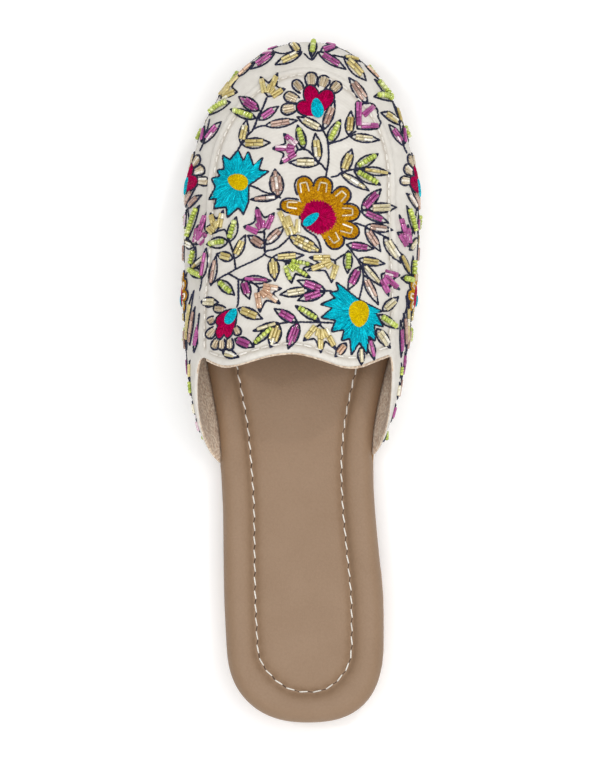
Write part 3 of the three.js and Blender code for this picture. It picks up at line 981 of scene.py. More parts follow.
def string_beads(place, bead, start, end, radius, length, shape, lift=0.0):
    """Beads end to end along a straight chart line."""
    found = laid(place, dense([start, end]), LINE_STEP, radius * MM * BEAD_LIFT + lift)
    if found is None:
        return
    points, normals = found
    run = run_along(points)
    count = max(1, round(run[-1] / (length * MM)))
    cuts = np.linspace(0, run[-1], count + 1)
    cuts[1:-1] += [chance.uniform(-BEAD_UNEVEN, BEAD_UNEVEN) * length * MM for _ in cuts[1:-1]]
    up = normals[len(normals) // 2]
    for first, last in zip(cuts[:-1], cuts[1:]):
        ends = [
            np.array([np.interp(at, run, column) for column in points.T])
            for at in (first + BEAD_GAP, last - BEAD_GAP)
        ]
        beads[bead].rod(*ends, up, radius * MM * chance.uniform(*BEAD_SIZES), shape, chance.random())


def leaf(place, row, bead_length=BUGLE_LENGTH):
    """A leaf's outline, and the beads that lie along it."""
    bead, base_x, base_y, tip_x, tip_y, width = row
    base = np.array((base_x, base_y))
    spine = np.array((tip_x, tip_y)) - base
    length = np.linalg.norm(spine)
    ahead = spine / length
    across = across_of(spine)
    shares = np.linspace(0, 1, LEAF_STEPS)
    for hand in (-1, 1) if width > BARE_STRAND else (1,):
        edge = [base + spine * t + across * hand * leaf_half(width, t) for t in shares]
        edge.append(base + spine + ahead * LEAF_POINT)
        stem_stitch(place, edge)
    if bead == "lime":
        radius = np.clip(width / 2 - SEED_MARGIN, *SEED_RADIUS)
        ends = (base + ahead * SEED_START, base + spine - ahead)
        string_beads(place, bead, *ends, radius, SEED_LENGTH, SEED)
        return
    strands = min(MOST_STRANDS, max(1, round((width - STRAND_ROOM) / STRAND_SPACING)))
    radius = np.clip((width - BUGLE_ROOM) / (2 * strands), *BUGLE_RADIUS)
    spare = max(0, width - LEAN_ROOM - 2 * strands * radius)
    lean = chance.uniform(-STRAND_LEAN, STRAND_LEAN) * spare
    for k in range(strands):
        offset = (k - (strands - 1) / 2) * BUGLE_SPACING * radius + lean
        needed = abs(offset) + STRAND_MARGIN
        room = [t for t in np.linspace(0, 1, ROOM_STEPS) if leaf_half(width, t) > needed]
        if not room or (room[-1] - room[0]) * length < SHORTEST_STRAND:
            continue
        ends = (base + spine * t + across * offset for t in (room[0], room[-1]))
        string_beads(place, bead, *ends, radius, bead_length, BUGLE)


LEAVES = [
    ("gold", 1.2, 120.4, -8, 116, 3.2), ("magenta", -8.6, 120.4, -17, 114.5, 3),
    ("magenta", 7.2, 120.4, 16.9, 114.3, 3), ("magenta", -14.3, 99.3, -21.3, 104, 4),
    ("lime", -15.5, 96.4, -24.3, 99.6, 3), ("magenta", -14.3, 95.8, -7.5, 100.5, 3),
    ("rose", -11.9, 93.7, -0.7, 95.5, 3), ("gold", -20.7, 87.1, -18.8, 95.6, 3.2),
    ("gold", -20.7, 87.2, -10.6, 87.5, 3.8), ("lime", 2.1, 85.3, -0.2, 93.5, 3.3),
    ("rose", -7.3, 67.8, -8.5, 77.5, 5), ("rose", -7.4, 67.7, -17, 66.9, 2.2),
    ("pale", 7.6, 80.1, -3, 80.3, 3.4), ("gold", 7.3, 80.4, 6.2, 90.5, 3.4),
    ("gold", 16.2, 76.5, 19.3, 84.7, 3.8), ("pale", 15.4, 76.4, 25.3, 70.2, 2.8),
    ("lime", 20.6, 78.3, 28.6, 83.1, 3.6), ("lime", 20.3, 77.1, 29.4, 72.2, 3.4),
    ("gold", 23.3, 77.7, 33, 76.2, 2.9), ("magenta", 23, 62.9, 29.7, 70.3, 3.8),
    ("pale", 25.3, 63.5, 35.2, 63.9, 3.6), ("magenta", 22.8, 62.6, 32.4, 58.4, 3),
    ("rose", 24.9, 101.9, 18.6, 110.7, 3.6), ("gold", 18.3, 90.1, 19.1, 98.5, 3.2),
    ("lime", 10.9, 87.2, 15.1, 95.4, 3.8), ("pale", 18.9, 89.6, 29.1, 88.4, 3),
    ("lime", -25.1, 51.5, -22.6, 60.2, 3.6), ("lime", -25.6, 51.7, -33, 50.7, 4),
    ("gold", -23.2, 45.4, -19.4, 53.6, 3.2), ("gold", -23.8, 45.4, -29.4, 47, 3.4),
    ("magenta", -35.2, 38, -33.5, 48.9, 2.6), ("rose", -31.8, 35.7, -30, 46, 2.6),
    ("lime", -29.1, 37.4, -23.5, 32.4, 3.6), ("magenta", -20, 38, -10.3, 37.3, 2.9),
    ("magenta", -20, 37.7, -17.9, 31, 3.4), ("rose", -12.1, 49.5, -18.1, 53.6, 3.4),
    ("rose", -12, 50.5, -5.3, 57, 3.2), ("gold", -9.4, 45.7, 1.6, 46.6, 3),
    ("gold", -9.4, 45.7, -8.5, 37.6, 4), ("pale", 4, 34, -6.3, 32.3, 3.2),
    ("magenta", 9.8, 33.6, 0, 37.3, 3.4), ("magenta", 9.6, 33.3, 0.1, 30.3, 3.4),
    ("rose", 24.4, 57.1, 33.8, 55.7, 3), ("rose", 24.3, 56.5, 29.6, 48.2, 3.2),
    ("magenta", 17.6, 50.3, 27, 48.9, 3), ("lime", 18.1, 48.2, 17.8, 40.4, 3.2),
    ("gold", 21.8, 44.9, 31, 43.5, 3), ("magenta", 22.1, 42.3, 18.2, 34.3, 3.4),
    ("pale", 23.3, 43.2, 29.9, 35.6, 2.8), ("rose", 23.6, 39.3, 28.8, 29, 3),
    ("pale", 31, 53, 36.9, 44.1, 3.6), ("pale", -35.3, 29.7, -29.4, 29.5, 3.6),
    ("gold", -21.9, 27.2, -13.4, 23.6, 3.6), ("pale", -7.3, 22, -16, 19.2, 2.2),
    ("lime", -8.8, 20.8, -16.5, 14, 2.6), ("gold", -7.3, 21.4, -10, 13.4, 4.5),
    ("magenta", -23, 16.2, -16.5, 13.4, 3.6), ("pale", -27.5, 11.5, -22, 9.7, 3),
    ("magenta", -0.5, 22.3, -8.4, 26.9, 3.4), ("magenta", -0.2, 22, -3.6, 13, 4),
    ("lime", 7.5, 22.9, -0.7, 28, 2.8), ("peach", 17.3, 14.6, 13.6, 10, 3),
    ("pale", 22.5, 13, 22.9, 6.9, 2.4), ("magenta", 25.7, 16.2, 27.4, 9, 2.6),
    ("pale", 28.4, 19.8, 33.1, 13.1, 3.6), ("pale", 30.5, 26.3, 36, 31.2, 3.2),
    ("lime", 29, 24.8, 35.8, 20.2, 3.2),
]
LATERAL_LEAVES = [
    ("gold", 0.4, 27, 4.4, 21, 3), ("magenta", 10.6, 24.6, 16, 20.4, 3),
    ("peach", 27.5, 24, 19.5, 23.6, 2.8), ("lime", 46.1, 23, 36, 28.7, 3.6),
    ("magenta", 56.6, 28.2, 44.8, 30.2, 3), ("magenta", 56.6, 26.5, 51.2, 23.5, 2.8),
    ("rose", 83.2, 27.5, 77.8, 34.2, 3), ("lime", 95, 30, 82.5, 34.4, 3.4),
    ("magenta", 91, 23, 84, 25.5, 3), ("pale", 96, 27, 89.4, 27.6, 3), ("pale", 96, 27.2, 98, 35, 3),
    ("rose", 103, 20, 96, 21, 2.8), ("lime", 105.4, 34.9, 98.4, 36, 3.2),
    ("gold", 106, 36, 101.2, 42, 2.6), ("lime", 105.9, 33.5, 109.2, 42.4, 3.4),
    ("gold", 135.5, 31.5, 114.5, 38.3, 3.2), ("rose", 134, 36.8, 120.5, 40, 2.6),
    ("magenta", 136.7, 40.6, 123.1, 44.6, 3), ("gold", 146.2, 33, 140, 36, 2),
    ("lime", 152.5, 30.5, 146.5, 33.5, 2), ("gold", 159.5, 27.5, 155, 30, 2),
    ("magenta", 166, 24, 161.5, 26.5, 2),
]
MEDIAL_LEAVES = [
    ("lime", 4.6, 27.7, 4.6, 21, 3), ("magenta", 8, 26, 13.6, 21, 3),
    ("gold", 17.4, 25.1, 23.5, 21.6, 2.6), ("gold", 17.4, 25.3, 29, 26.8, 3.6),
    ("peach", 26.2, 21.4, 33.5, 20.2, 2.6), ("lime", 42.3, 21, 32.3, 23.7, 3.4),
    ("lime", 42.3, 21.2, 36, 28, 3), ("gold", 51.3, 24.2, 42.7, 29.2, 3),
    ("gold", 50.5, 22.8, 45, 19.8, 2.6), ("magenta", 58.8, 26.8, 48.9, 29, 3),
    ("magenta", 58.4, 25.6, 52.6, 22, 2.8), ("peach", 83.4, 25, 77.8, 31, 2.8),
    ("peach", 84, 22.5, 78.5, 19, 2.6), ("lime", 93, 28, 83, 32, 3.2), ("magenta", 92.5, 22.5, 86, 21, 3),
    ("pale", 99, 32.4, 94.5, 24.5, 3), ("rose", 103, 20, 97, 19, 2.8),
    ("gold", 107.7, 32.8, 100.5, 37.6, 2.8), ("lime", 109.1, 29.7, 101.7, 29.4, 3),
    ("lime", 110.1, 29.6, 109.6, 37.6, 3), ("gold", 136, 28, 116.4, 34.2, 3),
    ("rose", 134.4, 31, 122.9, 36.4, 2.6), ("magenta", 138.5, 35, 125.5, 38.4, 3),
    ("lime", 146, 31.5, 141, 33.5, 2), ("magenta", 142, 28, 137, 30, 2), ("gold", 153, 29, 148, 31, 2),
    ("magenta", 161, 25, 156, 27.5, 2),
]
WALL_LEAVES = [
    ("rose", 4, 15.8, 11, 12.4, 3), ("magenta", 9, 17, 13, 21.5, 2.6), ("gold", 15, 17, 22.5, 13.4, 3),
    ("lime", 25.5, 16.6, 32.5, 12.8, 3.2), ("magenta", 36, 16.4, 43.5, 12.4, 3),
    ("gold", 33, 17.2, 38.5, 20.2, 2.6), ("gold", 46.5, 16, 54, 11.6, 3), ("lime", 51, 14, 57.5, 16.4, 3),
    ("lime", 84.5, 16, 91.5, 12.6, 3.2), ("gold", 92, 18.6, 99.5, 13.4, 3),
    ("magenta", 124.5, 13.6, 132.5, 10.8, 3), ("lime", 126.5, 16.4, 133, 21.4, 3.2),
    ("rose", 128, 24, 136, 28, 2.6), ("gold", 135, 17.8, 143.5, 13.4, 3),
    ("magenta", 138, 23.6, 146.5, 27.4, 3), ("rose", 146, 19.4, 153.5, 23.4, 2.8),
    ("lime", 146, 17.4, 153.5, 12.8, 3.2), ("magenta", 155.5, 17, 162, 21, 2.8),
    ("gold", 158, 14.8, 165, 10.8, 2.8), ("lime", 165, 14.5, 169.5, 18, 2.6),
]

embroider(leaf, LEAVES, LATERAL_LEAVES, MEDIAL_LEAVES, WALL_LEAVES)

# Beaded tulips: three-pointed blooms in bugles couched from the stem to each point, with a navy
# outline drawn close round them. One bloom near the toe is an open bell with three loose strands.

TULIPS = [
    ("gold", (-11, 104.3), ((-13.7, 111.4), (-7.5, 112.8), (-4.9, 107))),
    ("magenta", (-0.1, 85.1), ((-5.2, 90.7), (-9.7, 85.5), (-6.6, 79.9))),
    ("gold", (-29.8, 55), ((-33.2, 57), (-32, 62.3), (-27.3, 63))),
    ("magenta", (-13, 55), ((-19.8, 57), (-15.2, 64.5), (-8.8, 62))),
    ("peach", (-14.3, 34.7), ((-6.2, 34.5), (-6.5, 29), (-14, 26))),
    ("lime", (-4.5, 44), ((5.5, 43), (4.5, 38.2), (-2.5, 36.5))),
    ("gold", (13.3, 44.6), ((4.1, 45.8), (3.3, 41), (12, 36.7))),
    ("magenta", (30.1, 39.6), ((36.7, 39.3), (36.6, 34.1), (32.7, 31.8))),
    ("gold", (7.8, 21.3), ((1.9, 15.6), (8.2, 11), (13.7, 12.3))),
]
LATERAL_TULIPS = [
    ("gold", (38.2, 24), ((31, 20.6), (25.6, 23.9), (30.7, 28.4))),
    ("magenta", (97.2, 36.4), ((90.1, 35.4), (84.8, 37.8), (92.7, 41.4))),
]
MEDIAL_TULIPS = [
    ("magenta", (97.8, 33.4), ((90, 32.4), (86.2, 35.8), (93, 37.4))),
]
BELL_EDGE = [
    (22.2, 102.6), (20.9, 102.3), (20.8, 97), (21.4, 92.4), (25, 92.1), (28.9, 92.4), (30, 94.7),
    (28.9, 96.3), (28.7, 99.2), (27.1, 101.6), (24.2, 101.7), (22.9, 101.2),
]
BELL_STRANDS = [((21.9, 102), (21.9, 93.4)), ((22.7, 93.5), (29, 93.5)), ((23.6, 97.2), (27.2, 100.4))]
TULIP_VALLEY = 0.62
TULIP_BELLY = 1.2
TULIP_CUP = 0.8
TULIP_BEAD_RADIUS = 0.6
TULIP_SEED_RADIUS = 0.9
POINT_STRAND = (0.15, 0.86)
VALLEY_STRAND = (0.25, 0.84)
PAIR_SPREAD = 0.58
PAIR_TAPER = 0.7


def double_strand(place, bead, start, end):
    """Two strands of bugles side by side."""
    start, end = np.array(start), np.array(end)
    across = across_of(end - start) * PAIR_SPREAD
    for hand in (-1, 1):
        ends = (start + across * hand, end + across * hand * PAIR_TAPER)
        string_beads(place, bead, *ends, TULIP_BEAD_RADIUS, BUGLE_LENGTH, BUGLE)


def tulip(place, row):
    """A tulip's outline, and the beads that run from its base to its points and valleys."""
    bead, base, tips = row
    base = np.array(base)
    tips = [np.array(tip) for tip in tips]
    valleys = [base + ((a + b) / 2 - base) * TULIP_VALLEY for a, b in zip(tips[:-1], tips[1:])]
    middle = sum(tips) / len(tips)
    outer = (tips[0], tips[-1])
    sideways = [(tip - middle) / np.linalg.norm(tip - middle) for tip in outer]
    bellies = [base + (tip - base) * 0.5 + away * TULIP_BELLY for tip, away in zip(outer, sideways)]
    stem(place, [base, bellies[0], tips[0]])
    stem_stitch(place, dense([tips[0], valleys[0], tips[1], valleys[1], tips[2]]))
    stem(place, [base, bellies[1], tips[2]])
    for tip, away in zip(tips, (sideways[0], 0, sideways[1])):
        start, end = (base + (tip - base) * share for share in POINT_STRAND)
        start = start + away * TULIP_CUP
        if bead == "lime":
            string_beads(place, bead, start, end, TULIP_SEED_RADIUS, SEED_LENGTH, SEED)
        else:
            double_strand(place, bead, start, end)
    for valley in valleys:
        ends = (base + (valley - base) * share for share in VALLEY_STRAND)
        string_beads(place, bead, *ends, TULIP_BEAD_RADIUS, BUGLE_LENGTH, BUGLE)


embroider(tulip, TULIPS, LATERAL_TULIPS, MEDIAL_TULIPS)
stem_stitch(on_vamp, dense(BELL_EDGE))
for start, end in BELL_STRANDS:
    double_strand(on_vamp, "magenta", start, end)

# Flowers: dense satin stitch over a raised pad, in turquoise, gold and crimson silk, each
# outlined in navy. Beaded petals and sepals finish the gold and crimson ones.

SATIN_STITCH = RodShape(4, (0, 0.35), (0.5, 1), (1, 0.35))
SATIN_RADIUS = 0.2
SATIN_SPACING = 0.34
SATIN_ROWS = ((0.04, 0.32), (0.22, 0.52), (0.42, 0.72), (0.6, 0.88), (0.76, 1))
EYE_ROWS = ((0.0, 0.4), (0.28, 0.64), (0.55, 0.84), (0.74, 1))
PAD_RINGS = (0.35, 0.7, 0.9, 1.0)
PAD_TONE = 0.3
PAD_STEP = 0.8
PAD_FLATNESS = 4
STITCH_RISE = 0.05
STITCH_CROWDING = 0.85
SATIN_ARCH = 0.08 * MM
SHORTEST_STITCH = 0.35
FEWEST_STITCHES = 6
START_SLIP = (-0.06, 0.06)
END_SLIP = (-0.05, 0)
OVAL_POINTS = 28
OVAL_TAPER = 0.18
PETAL_BELLY = 0.58
PETAL_SHARES = (0, 0.2, 0.4, 0.58, 0.72, 0.84, 0.93, 0.98)
PETAL_BEAD_LENGTH = 9
PETAL_ROOM = 1.1
PETAL_STRAND = (0.1, 0.9)
PETAL_ROUNDING = 0.2
PETAL_GATHER = 0.75
RAGGED_STEP = 0.55
RAGGED_DEPTH = 0.3
OUTLINE_LIFT = 0.12 * MM

SATIN_COLOURS = {
    "turquoise": ((0, 112, 140), (12, 232, 249)),
    "gold": ((140, 76, 0), (232, 179, 26)),
    "crimson": ((122, 0, 46), (214, 0, 94)),
    "yellow": ((186, 150, 0), (242, 217, 8)),
}
thread_materials = {
    name: thread_finish(name + "_satin", deep, bright, roughness=0.42, gloss=0.06)
    for name, (deep, bright) in SATIN_COLOURS.items()
}


def reach_of(outline, centre, heading):
    """How far an outline is from its centre in one direction."""
    edges = np.roll(outline, -1, axis=0) - outline
    from_centre = outline - centre
    turned = heading[0] * edges[:, 1] - heading[1] * edges[:, 0]
    turned = np.where(np.abs(turned) < TINY, TINY, turned)
    out = (from_centre[:, 0] * edges[:, 1] - from_centre[:, 1] * edges[:, 0]) / turned
    share = (from_centre[:, 0] * heading[1] - from_centre[:, 1] * heading[0]) / turned
    crossings = out[(share >= 0) & (share <= 1) & (out > 0)]
    return crossings.max() if len(crossings) else 0.0


def pad_height(share, height):
    return height * (1 - share**PAD_FLATNESS)


def pad(work, place, outline, centre, height, floor):
    """The raised pad under the satin stitch."""
    line = dense(outline, closed=True, spacing=PAD_STEP)[:-1]
    found = place(*centre)
    if found is None:
        return
    points = [found[0] + found[1] * (floor + height) * MM]
    for share in PAD_RINGS:
        for spot in line:
            landed = place(*(centre + (spot - centre) * share)) or found
            points.append(landed[0] + landed[1] * (floor + pad_height(share, height)) * MM)
    count = len(line)
    faces = [(0, 1 + k, 1 + (k + 1) % count) for k in range(count)]
    for ring in range(len(PAD_RINGS) - 1):
        here = 1 + ring * count
        for k in range(count):
            turned = (k + 1) % count
            faces.append((here + k, here + count + k, here + count + turned, here + turned))
    first, second, third = (points[k] for k in faces[0])
    if np.dot(np.cross(second - first, third - first), found[1]) < 0:
        faces = [tuple(reversed(face)) for face in faces]
    work.add(points, faces, PAD_TONE)


def satin(name, place, outline, centre, height=0.7, floor=0.1, rows=SATIN_ROWS, twist=11.0):
    """Rows of short stitches that fan out from a centre over their pad."""
    work = satin_works[name]
    outline = np.array(outline, float)
    centre = np.array(centre, float)
    pad(work, place, outline, centre, height, floor)
    widest = max(np.linalg.norm(outline - centre, axis=1))
    for low, high in rows:
        round_row = math.tau * widest * STITCH_CROWDING * (low + high) / 2
        count = max(FEWEST_STITCHES, round(round_row / SATIN_SPACING))
        for k in range(count):
            bearing = math.tau * (k + chance.random()) / count
            heading = np.array((math.cos(bearing), math.sin(bearing)))
            reach = reach_of(outline, centre, heading)
            if reach * (high - low) < SHORTEST_STITCH:
                continue
            wander = math.radians(chance.uniform(-twist, twist))
            turned = np.array((math.cos(bearing + wander), math.sin(bearing + wander)))
            shares = (max(0, low + chance.uniform(*START_SLIP)), high + chance.uniform(*END_SLIP))
            start = centre + heading * reach * shares[0]
            end = start + turned * reach * (shares[1] - shares[0])
            landed = [place(*start), place(*end)]
            if None in landed:
                continue
            ends = [
                spot[0] + spot[1] * (floor + pad_height(share, height) + STITCH_RISE) * MM
                for spot, share in zip(landed, shares)
            ]
            work.rod(*ends, landed[0][1], SATIN_RADIUS * MM, SATIN_STITCH, chance.random(), SATIN_ARCH)


def petal_outline(base, tip, width, waist=0.55):
    """A petal that is narrow at its base and round at its tip."""
    base = np.array(base, float)
    spine = np.array(tip, float) - base
    across = across_of(spine)

    def half(share):
        if share > PETAL_BELLY:
            return width / 2 * math.sqrt(max(0, 1 - ((share - PETAL_BELLY) / (1 - PETAL_BELLY)) ** 2))
        return width / 2 * (waist + (1 - waist) * math.sin(math.pi / 2 * share / PETAL_BELLY))

    right = [base + spine * t + across * half(t) for t in PETAL_SHARES]
    left = [base + spine * t - across * half(t) for t in reversed(PETAL_SHARES)]
    return np.array(right + [base + spine] + left)


def oval(centre, ahead, across, turn):
    """An egg: half axes along and across, and the bearing of its long axis."""
    cos, sin = math.cos(math.radians(turn)), math.sin(math.radians(turn))
    line = []
    for k in range(OVAL_POINTS):
        a = math.tau * k / OVAL_POINTS
        u, v = ahead * math.cos(a), across * math.sin(a) * (1 - OVAL_TAPER * math.cos(a))
        line.append((centre[0] + u * cos - v * sin, centre[1] + u * sin + v * cos))
    return np.array(line)


def beaded_petal(place, bead, base, tip, width, radius=0.52):
    """A petal filled with bugles that lie from its base to its tip."""
    stem_stitch(place, dense(petal_outline(base, tip, width)))
    base = np.array(base, float)
    spine = np.array(tip, float) - base
    across = across_of(spine)
    strands = max(2, round((width - PETAL_ROOM) / (2 * radius)))
    for k in range(strands):
        offset = (k - (strands - 1) / 2) * 2 * radius
        inner = abs(offset) / (width / 2)
        start = base + spine * PETAL_STRAND[0] + across * offset * PETAL_GATHER
        end = base + spine * (PETAL_STRAND[1] - PETAL_ROUNDING * inner) + across * offset
        string_beads(place, bead, start, end, radius, PETAL_BEAD_LENGTH, BUGLE)


def ragged(outline, centre):
    """An outline whose stitches end at uneven lengths."""
    away = dense(outline, closed=True, spacing=RAGGED_STEP)[:-1] - centre
    depths = [RAGGED_DEPTH if k % 2 else -RAGGED_DEPTH for k in range(len(away))]
    return np.array([
        centre + spot * (1 + depth / np.linalg.norm(spot)) for spot, depth in zip(away, depths)
    ])


BLUE_TOE_SPIKES = [
    (-18, 72), (-10.7, 77.1), (-14.4, 77.6), (-12.8, 82.4), (-16.2, 78.9), (-18.1, 84.5), (-19.9, 80.7),
    (-21.9, 85), (-24.8, 81.3), (-27.5, 83.1), (-26.9, 77.9), (-29.6, 77.6), (-28.4, 75.3), (-31.7, 74.5),
    (-30, 71.5), (-32.5, 66.9), (-29.7, 67.3), (-30.6, 63.6), (-26, 64.2), (-25.8, 60.3), (-21.7, 64),
    (-19.9, 61.5), (-18.1, 65.9),
]
BLUE_THROAT_SPIKES = [
    (21.9, 30.4), (13.5, 37), (14.7, 33.6), (11.2, 33.1), (13.5, 31.1), (7.9, 28.7), (12.5, 27.6),
    (8, 23.8), (13.5, 23), (11.8, 18.7), (16.7, 19.6), (15.5, 15.3), (18.7, 16.4), (19.2, 10.3),
    (22, 14.9), (24.8, 10.8), (25.3, 17.4), (27.9, 15.2), (27.4, 21.5), (30.7, 20.6), (27.9, 25.8),
    (30.5, 26.1), (24.1, 29.3),
]
BLUE_TOE_EYE = ((-21.7, 73.1), 3.75, 2.9, 160)
BLUE_THROAT_EYE = ((21.6, 25.1), 4.8, 3.55, 270)
GOLD_PETALS = [
    ((1.3, 64.3), (-6.6, 65), 5.2), ((2.8, 67.7), (1.3, 75.2), 6.6), ((8.2, 67.9), (9.6, 75), 6.8),
    ((13.3, 65.7), (18.1, 70.6), 6.3), ((14, 62.1), (22.3, 62.1), 6.4), ((13.7, 57), (22, 54.3), 6),
    ((11.3, 55.3), (15, 49.2), 6.6),
]
GOLD_HEART = (7.4, 60.3)
GOLD_HEART_EDGE = [
    (0.8, 62), (2.5, 65.2), (5.5, 66.6), (9, 66.3), (12, 64.5), (14, 61), (14, 58), (12.5, 55.8),
    (9.5, 54.2), (7, 54), (4, 55.5), (2, 57), (0.9, 59.5),
]
GOLD_SEPAL_EDGE = [
    (-7.6, 63.4), (-3.5, 62.6), (0.2, 61.6), (0.6, 59.3), (1.6, 57.1), (3.7, 55), (6, 53.6), (7.6, 51),
    (8.2, 48.1),
]
GOLD_SEPAL_STRANDS = [((-3, 53.9), (-6.9, 62.4)), ((-1.7, 53.9), (-4, 60.8)), ((-0.3, 54.6), (0, 59.6))]
GOLD_SEPAL = ("gold", -3.3, 53.4, 7.9, 47.8, 4.6)
GOLD_EYE = ((4.6, 59.3), 3.5, 1.6, 39)
GOLD_SEPAL_BEAD = 1.6
GOLD_PAD = 0.6
GOLD_ROOT = 0.45
GOLD_CENTRE = 0.25
GOLD_WAIST = 0.85
GOLD_OUTLINE_WAIST = 0.8
HEART_PAD = 0.45
HEART_FLOOR = 0.62
ARCH_BEADS = ("champagne", "pale", "champagne")
ARCH_CORNERS = ((0.2, -0.22), (0.66, -0.18), (0.66, 0.18), (0.2, 0.22))
ARCH_RADIUS = 0.32
RED_TOE_LOBES = [
    ((6.6, 98.6), (-0.6, 101.2), 5.4), ((6.4, 99), (3.6, 108.4), 5.6), ((6.8, 99), (12, 106.4), 6),
]
RED_TOE_PETALS = [
    ((-1, 100.2), (-6.3, 99.3), 4.3), ((-0.1, 102.8), (-5.1, 105), 4), ((1.4, 106.1), (-1.7, 110.1), 3.6),
    ((4.7, 107.9), (4.7, 113.1), 4.6), ((8.4, 107.4), (10, 111.8), 4.4),
    ((12.2, 106.1), (15.2, 109.2), 4),
]
RED_TOE_LEAVES = [("pale", 8.9, 92, -0.1, 96.7, 3.3), ("rose", 9.3, 92.3, 13.1, 102.4, 3.2)]
RED_TOE_EYE = ((6.8, 99.8), 3.6, 2.25, 100)
RED_TOE_FOOT = (7.2, 94.5)
LOBE_CENTRE = 0.35
LOBE_TRIM = 6
RED_THROAT_EDGE = [
    (-24.4, 27), (-27, 26.3), (-29.7, 24), (-30, 22.3), (-29, 20.8), (-30.2, 18.5), (-29.3, 16.2),
    (-28, 16.2), (-26.8, 18), (-26, 16.2), (-24.5, 17), (-23.3, 19.5), (-22.6, 22.3), (-22.3, 26),
]
RED_THROAT_PETALS = [
    ((-26.6, 26.8), (-30.9, 27.4), 3), ((-30.5, 23.7), (-32.8, 22.1), 3),
    ((-30.3, 20), (-33.2, 16.7), 3.4), ((-29.3, 16.1), (-30.9, 12.4), 3.2),
    ((-27.6, 16.1), (-27.8, 12), 2.8), ((-24.9, 16.3), (-24.9, 12), 3), ((-22.9, 20.6), (-21.5, 17.5), 3),
]
RED_THROAT_EYE = ((-24.1, 24.3), 3.3, 1.7, 58)
RED_THROAT_MIDDLE = (-26.3, 21.8)
RED_THROAT_BEAD_RADIUS = 0.48
RED_WALL_FEET = ((-1, (79.5, 21.5)), (1, (80.5, 18.5)))
RED_WALL_TURN = 60
GOLD_WALL_HEART = (116, 23.5)
GOLD_WALL_TURN = 115
GOLD_WALL_SCALE = 0.68
EYE_PAD = 0.35
EYE_TWIST = 20
BLUE_PAD = 0.8
BLUE_EYE_FLOOR = 1.08
GOLD_EYE_FLOOR = 1.28
RED_EYE_FLOOR = 0.98

SATIN_PIECES = {
    "blue_toe_petals": ("turquoise", "flower_blue_toe"),
    "blue_throat_petals": ("turquoise", "flower_blue_throat"),
    "gold_petals": ("gold", "flower_gold"),
    "red_toe_lobes": ("crimson", "flower_red_toe"),
    "red_throat_lobes": ("crimson", "flower_red_throat"),
    "gold_flower_heart": ("crimson", None),
    "yellow_eyes": ("yellow", None),
    "turquoise_eyes": ("turquoise", None),
    "wall_crimson": ("crimson", None),
    "wall_gold": ("gold", None),
    "wall_turquoise": ("turquoise", None),
}
satin_works = {name: Threadwork() for name in SATIN_PIECES}


def satin_eye(name, place, centre, ahead, across, turn, floor):
    satin(name, place, oval(centre, ahead, across, turn), centre, EYE_PAD, floor, EYE_ROWS, EYE_TWIST)


def blue_flower(place, petals, spikes, eye):
    satin(petals, place, spikes, eye[0], BLUE_PAD)
    stem_stitch(place, dense(spikes, closed=True), OUTLINE_LIFT)
    satin_eye("yellow_eyes", place, *eye, BLUE_EYE_FLOOR)


def gold_flower(place, petals, heart, eye):
    middle = np.array(GOLD_HEART)
    for base, tip, width in GOLD_PETALS:
        base, tip = np.array(base), np.array(tip)
        spine = tip - base
        root = base + (middle - base) * GOLD_ROOT
        filled = petal_outline(root, tip, width, GOLD_WAIST)
        satin(petals, place, filled, base + spine * GOLD_CENTRE, GOLD_PAD)
        outline = petal_outline(base, tip, width, GOLD_OUTLINE_WAIST)[1:-1]
        stem_stitch(place, dense(outline), OUTLINE_LIFT)
        across = across_of(spine) * width
        arch = [base + spine * ahead + across * out for ahead, out in ARCH_CORNERS]
        for bead, start, end in zip(ARCH_BEADS, arch[:-1], arch[1:]):
            string_beads(place, bead, start, end, ARCH_RADIUS, PETAL_BEAD_LENGTH, BUGLE, GOLD_PAD * MM)
    satin(heart, place, ragged(GOLD_HEART_EDGE, middle), GOLD_HEART, HEART_PAD, HEART_FLOOR)
    satin_eye(eye, place, *GOLD_EYE, GOLD_EYE_FLOOR)
    stem_stitch(place, curve_through(GOLD_SEPAL_EDGE), OUTLINE_LIFT)
    for start, end in GOLD_SEPAL_STRANDS:
        double_strand(place, "gold", start, end)
    leaf(place, GOLD_SEPAL, GOLD_SEPAL_BEAD)


def red_toe_flower(place, petals, eye):
    for base, tip, width in RED_TOE_LOBES:
        line = petal_outline(base, tip, width)
        satin(petals, place, line, np.array(base) + (np.array(tip) - np.array(base)) * LOBE_CENTRE)
        stem_stitch(place, dense(line)[LOBE_TRIM:-LOBE_TRIM], OUTLINE_LIFT)
    satin_eye(eye, place, *RED_TOE_EYE, RED_EYE_FLOOR)
    for petal in RED_TOE_PETALS:
        beaded_petal(place, "champagne", *petal)
    for row in RED_TOE_LEAVES:
        leaf(place, row)


def red_throat_flower(place, petals, eye):
    satin(petals, place, RED_THROAT_EDGE, RED_THROAT_MIDDLE)
    stem_stitch(place, dense(RED_THROAT_EDGE, closed=True), OUTLINE_LIFT)
    satin_eye(eye, place, *RED_THROAT_EYE, RED_EYE_FLOOR)
    for petal in RED_THROAT_PETALS:
        beaded_petal(place, "champagne", *petal, RED_THROAT_BEAD_RADIUS)


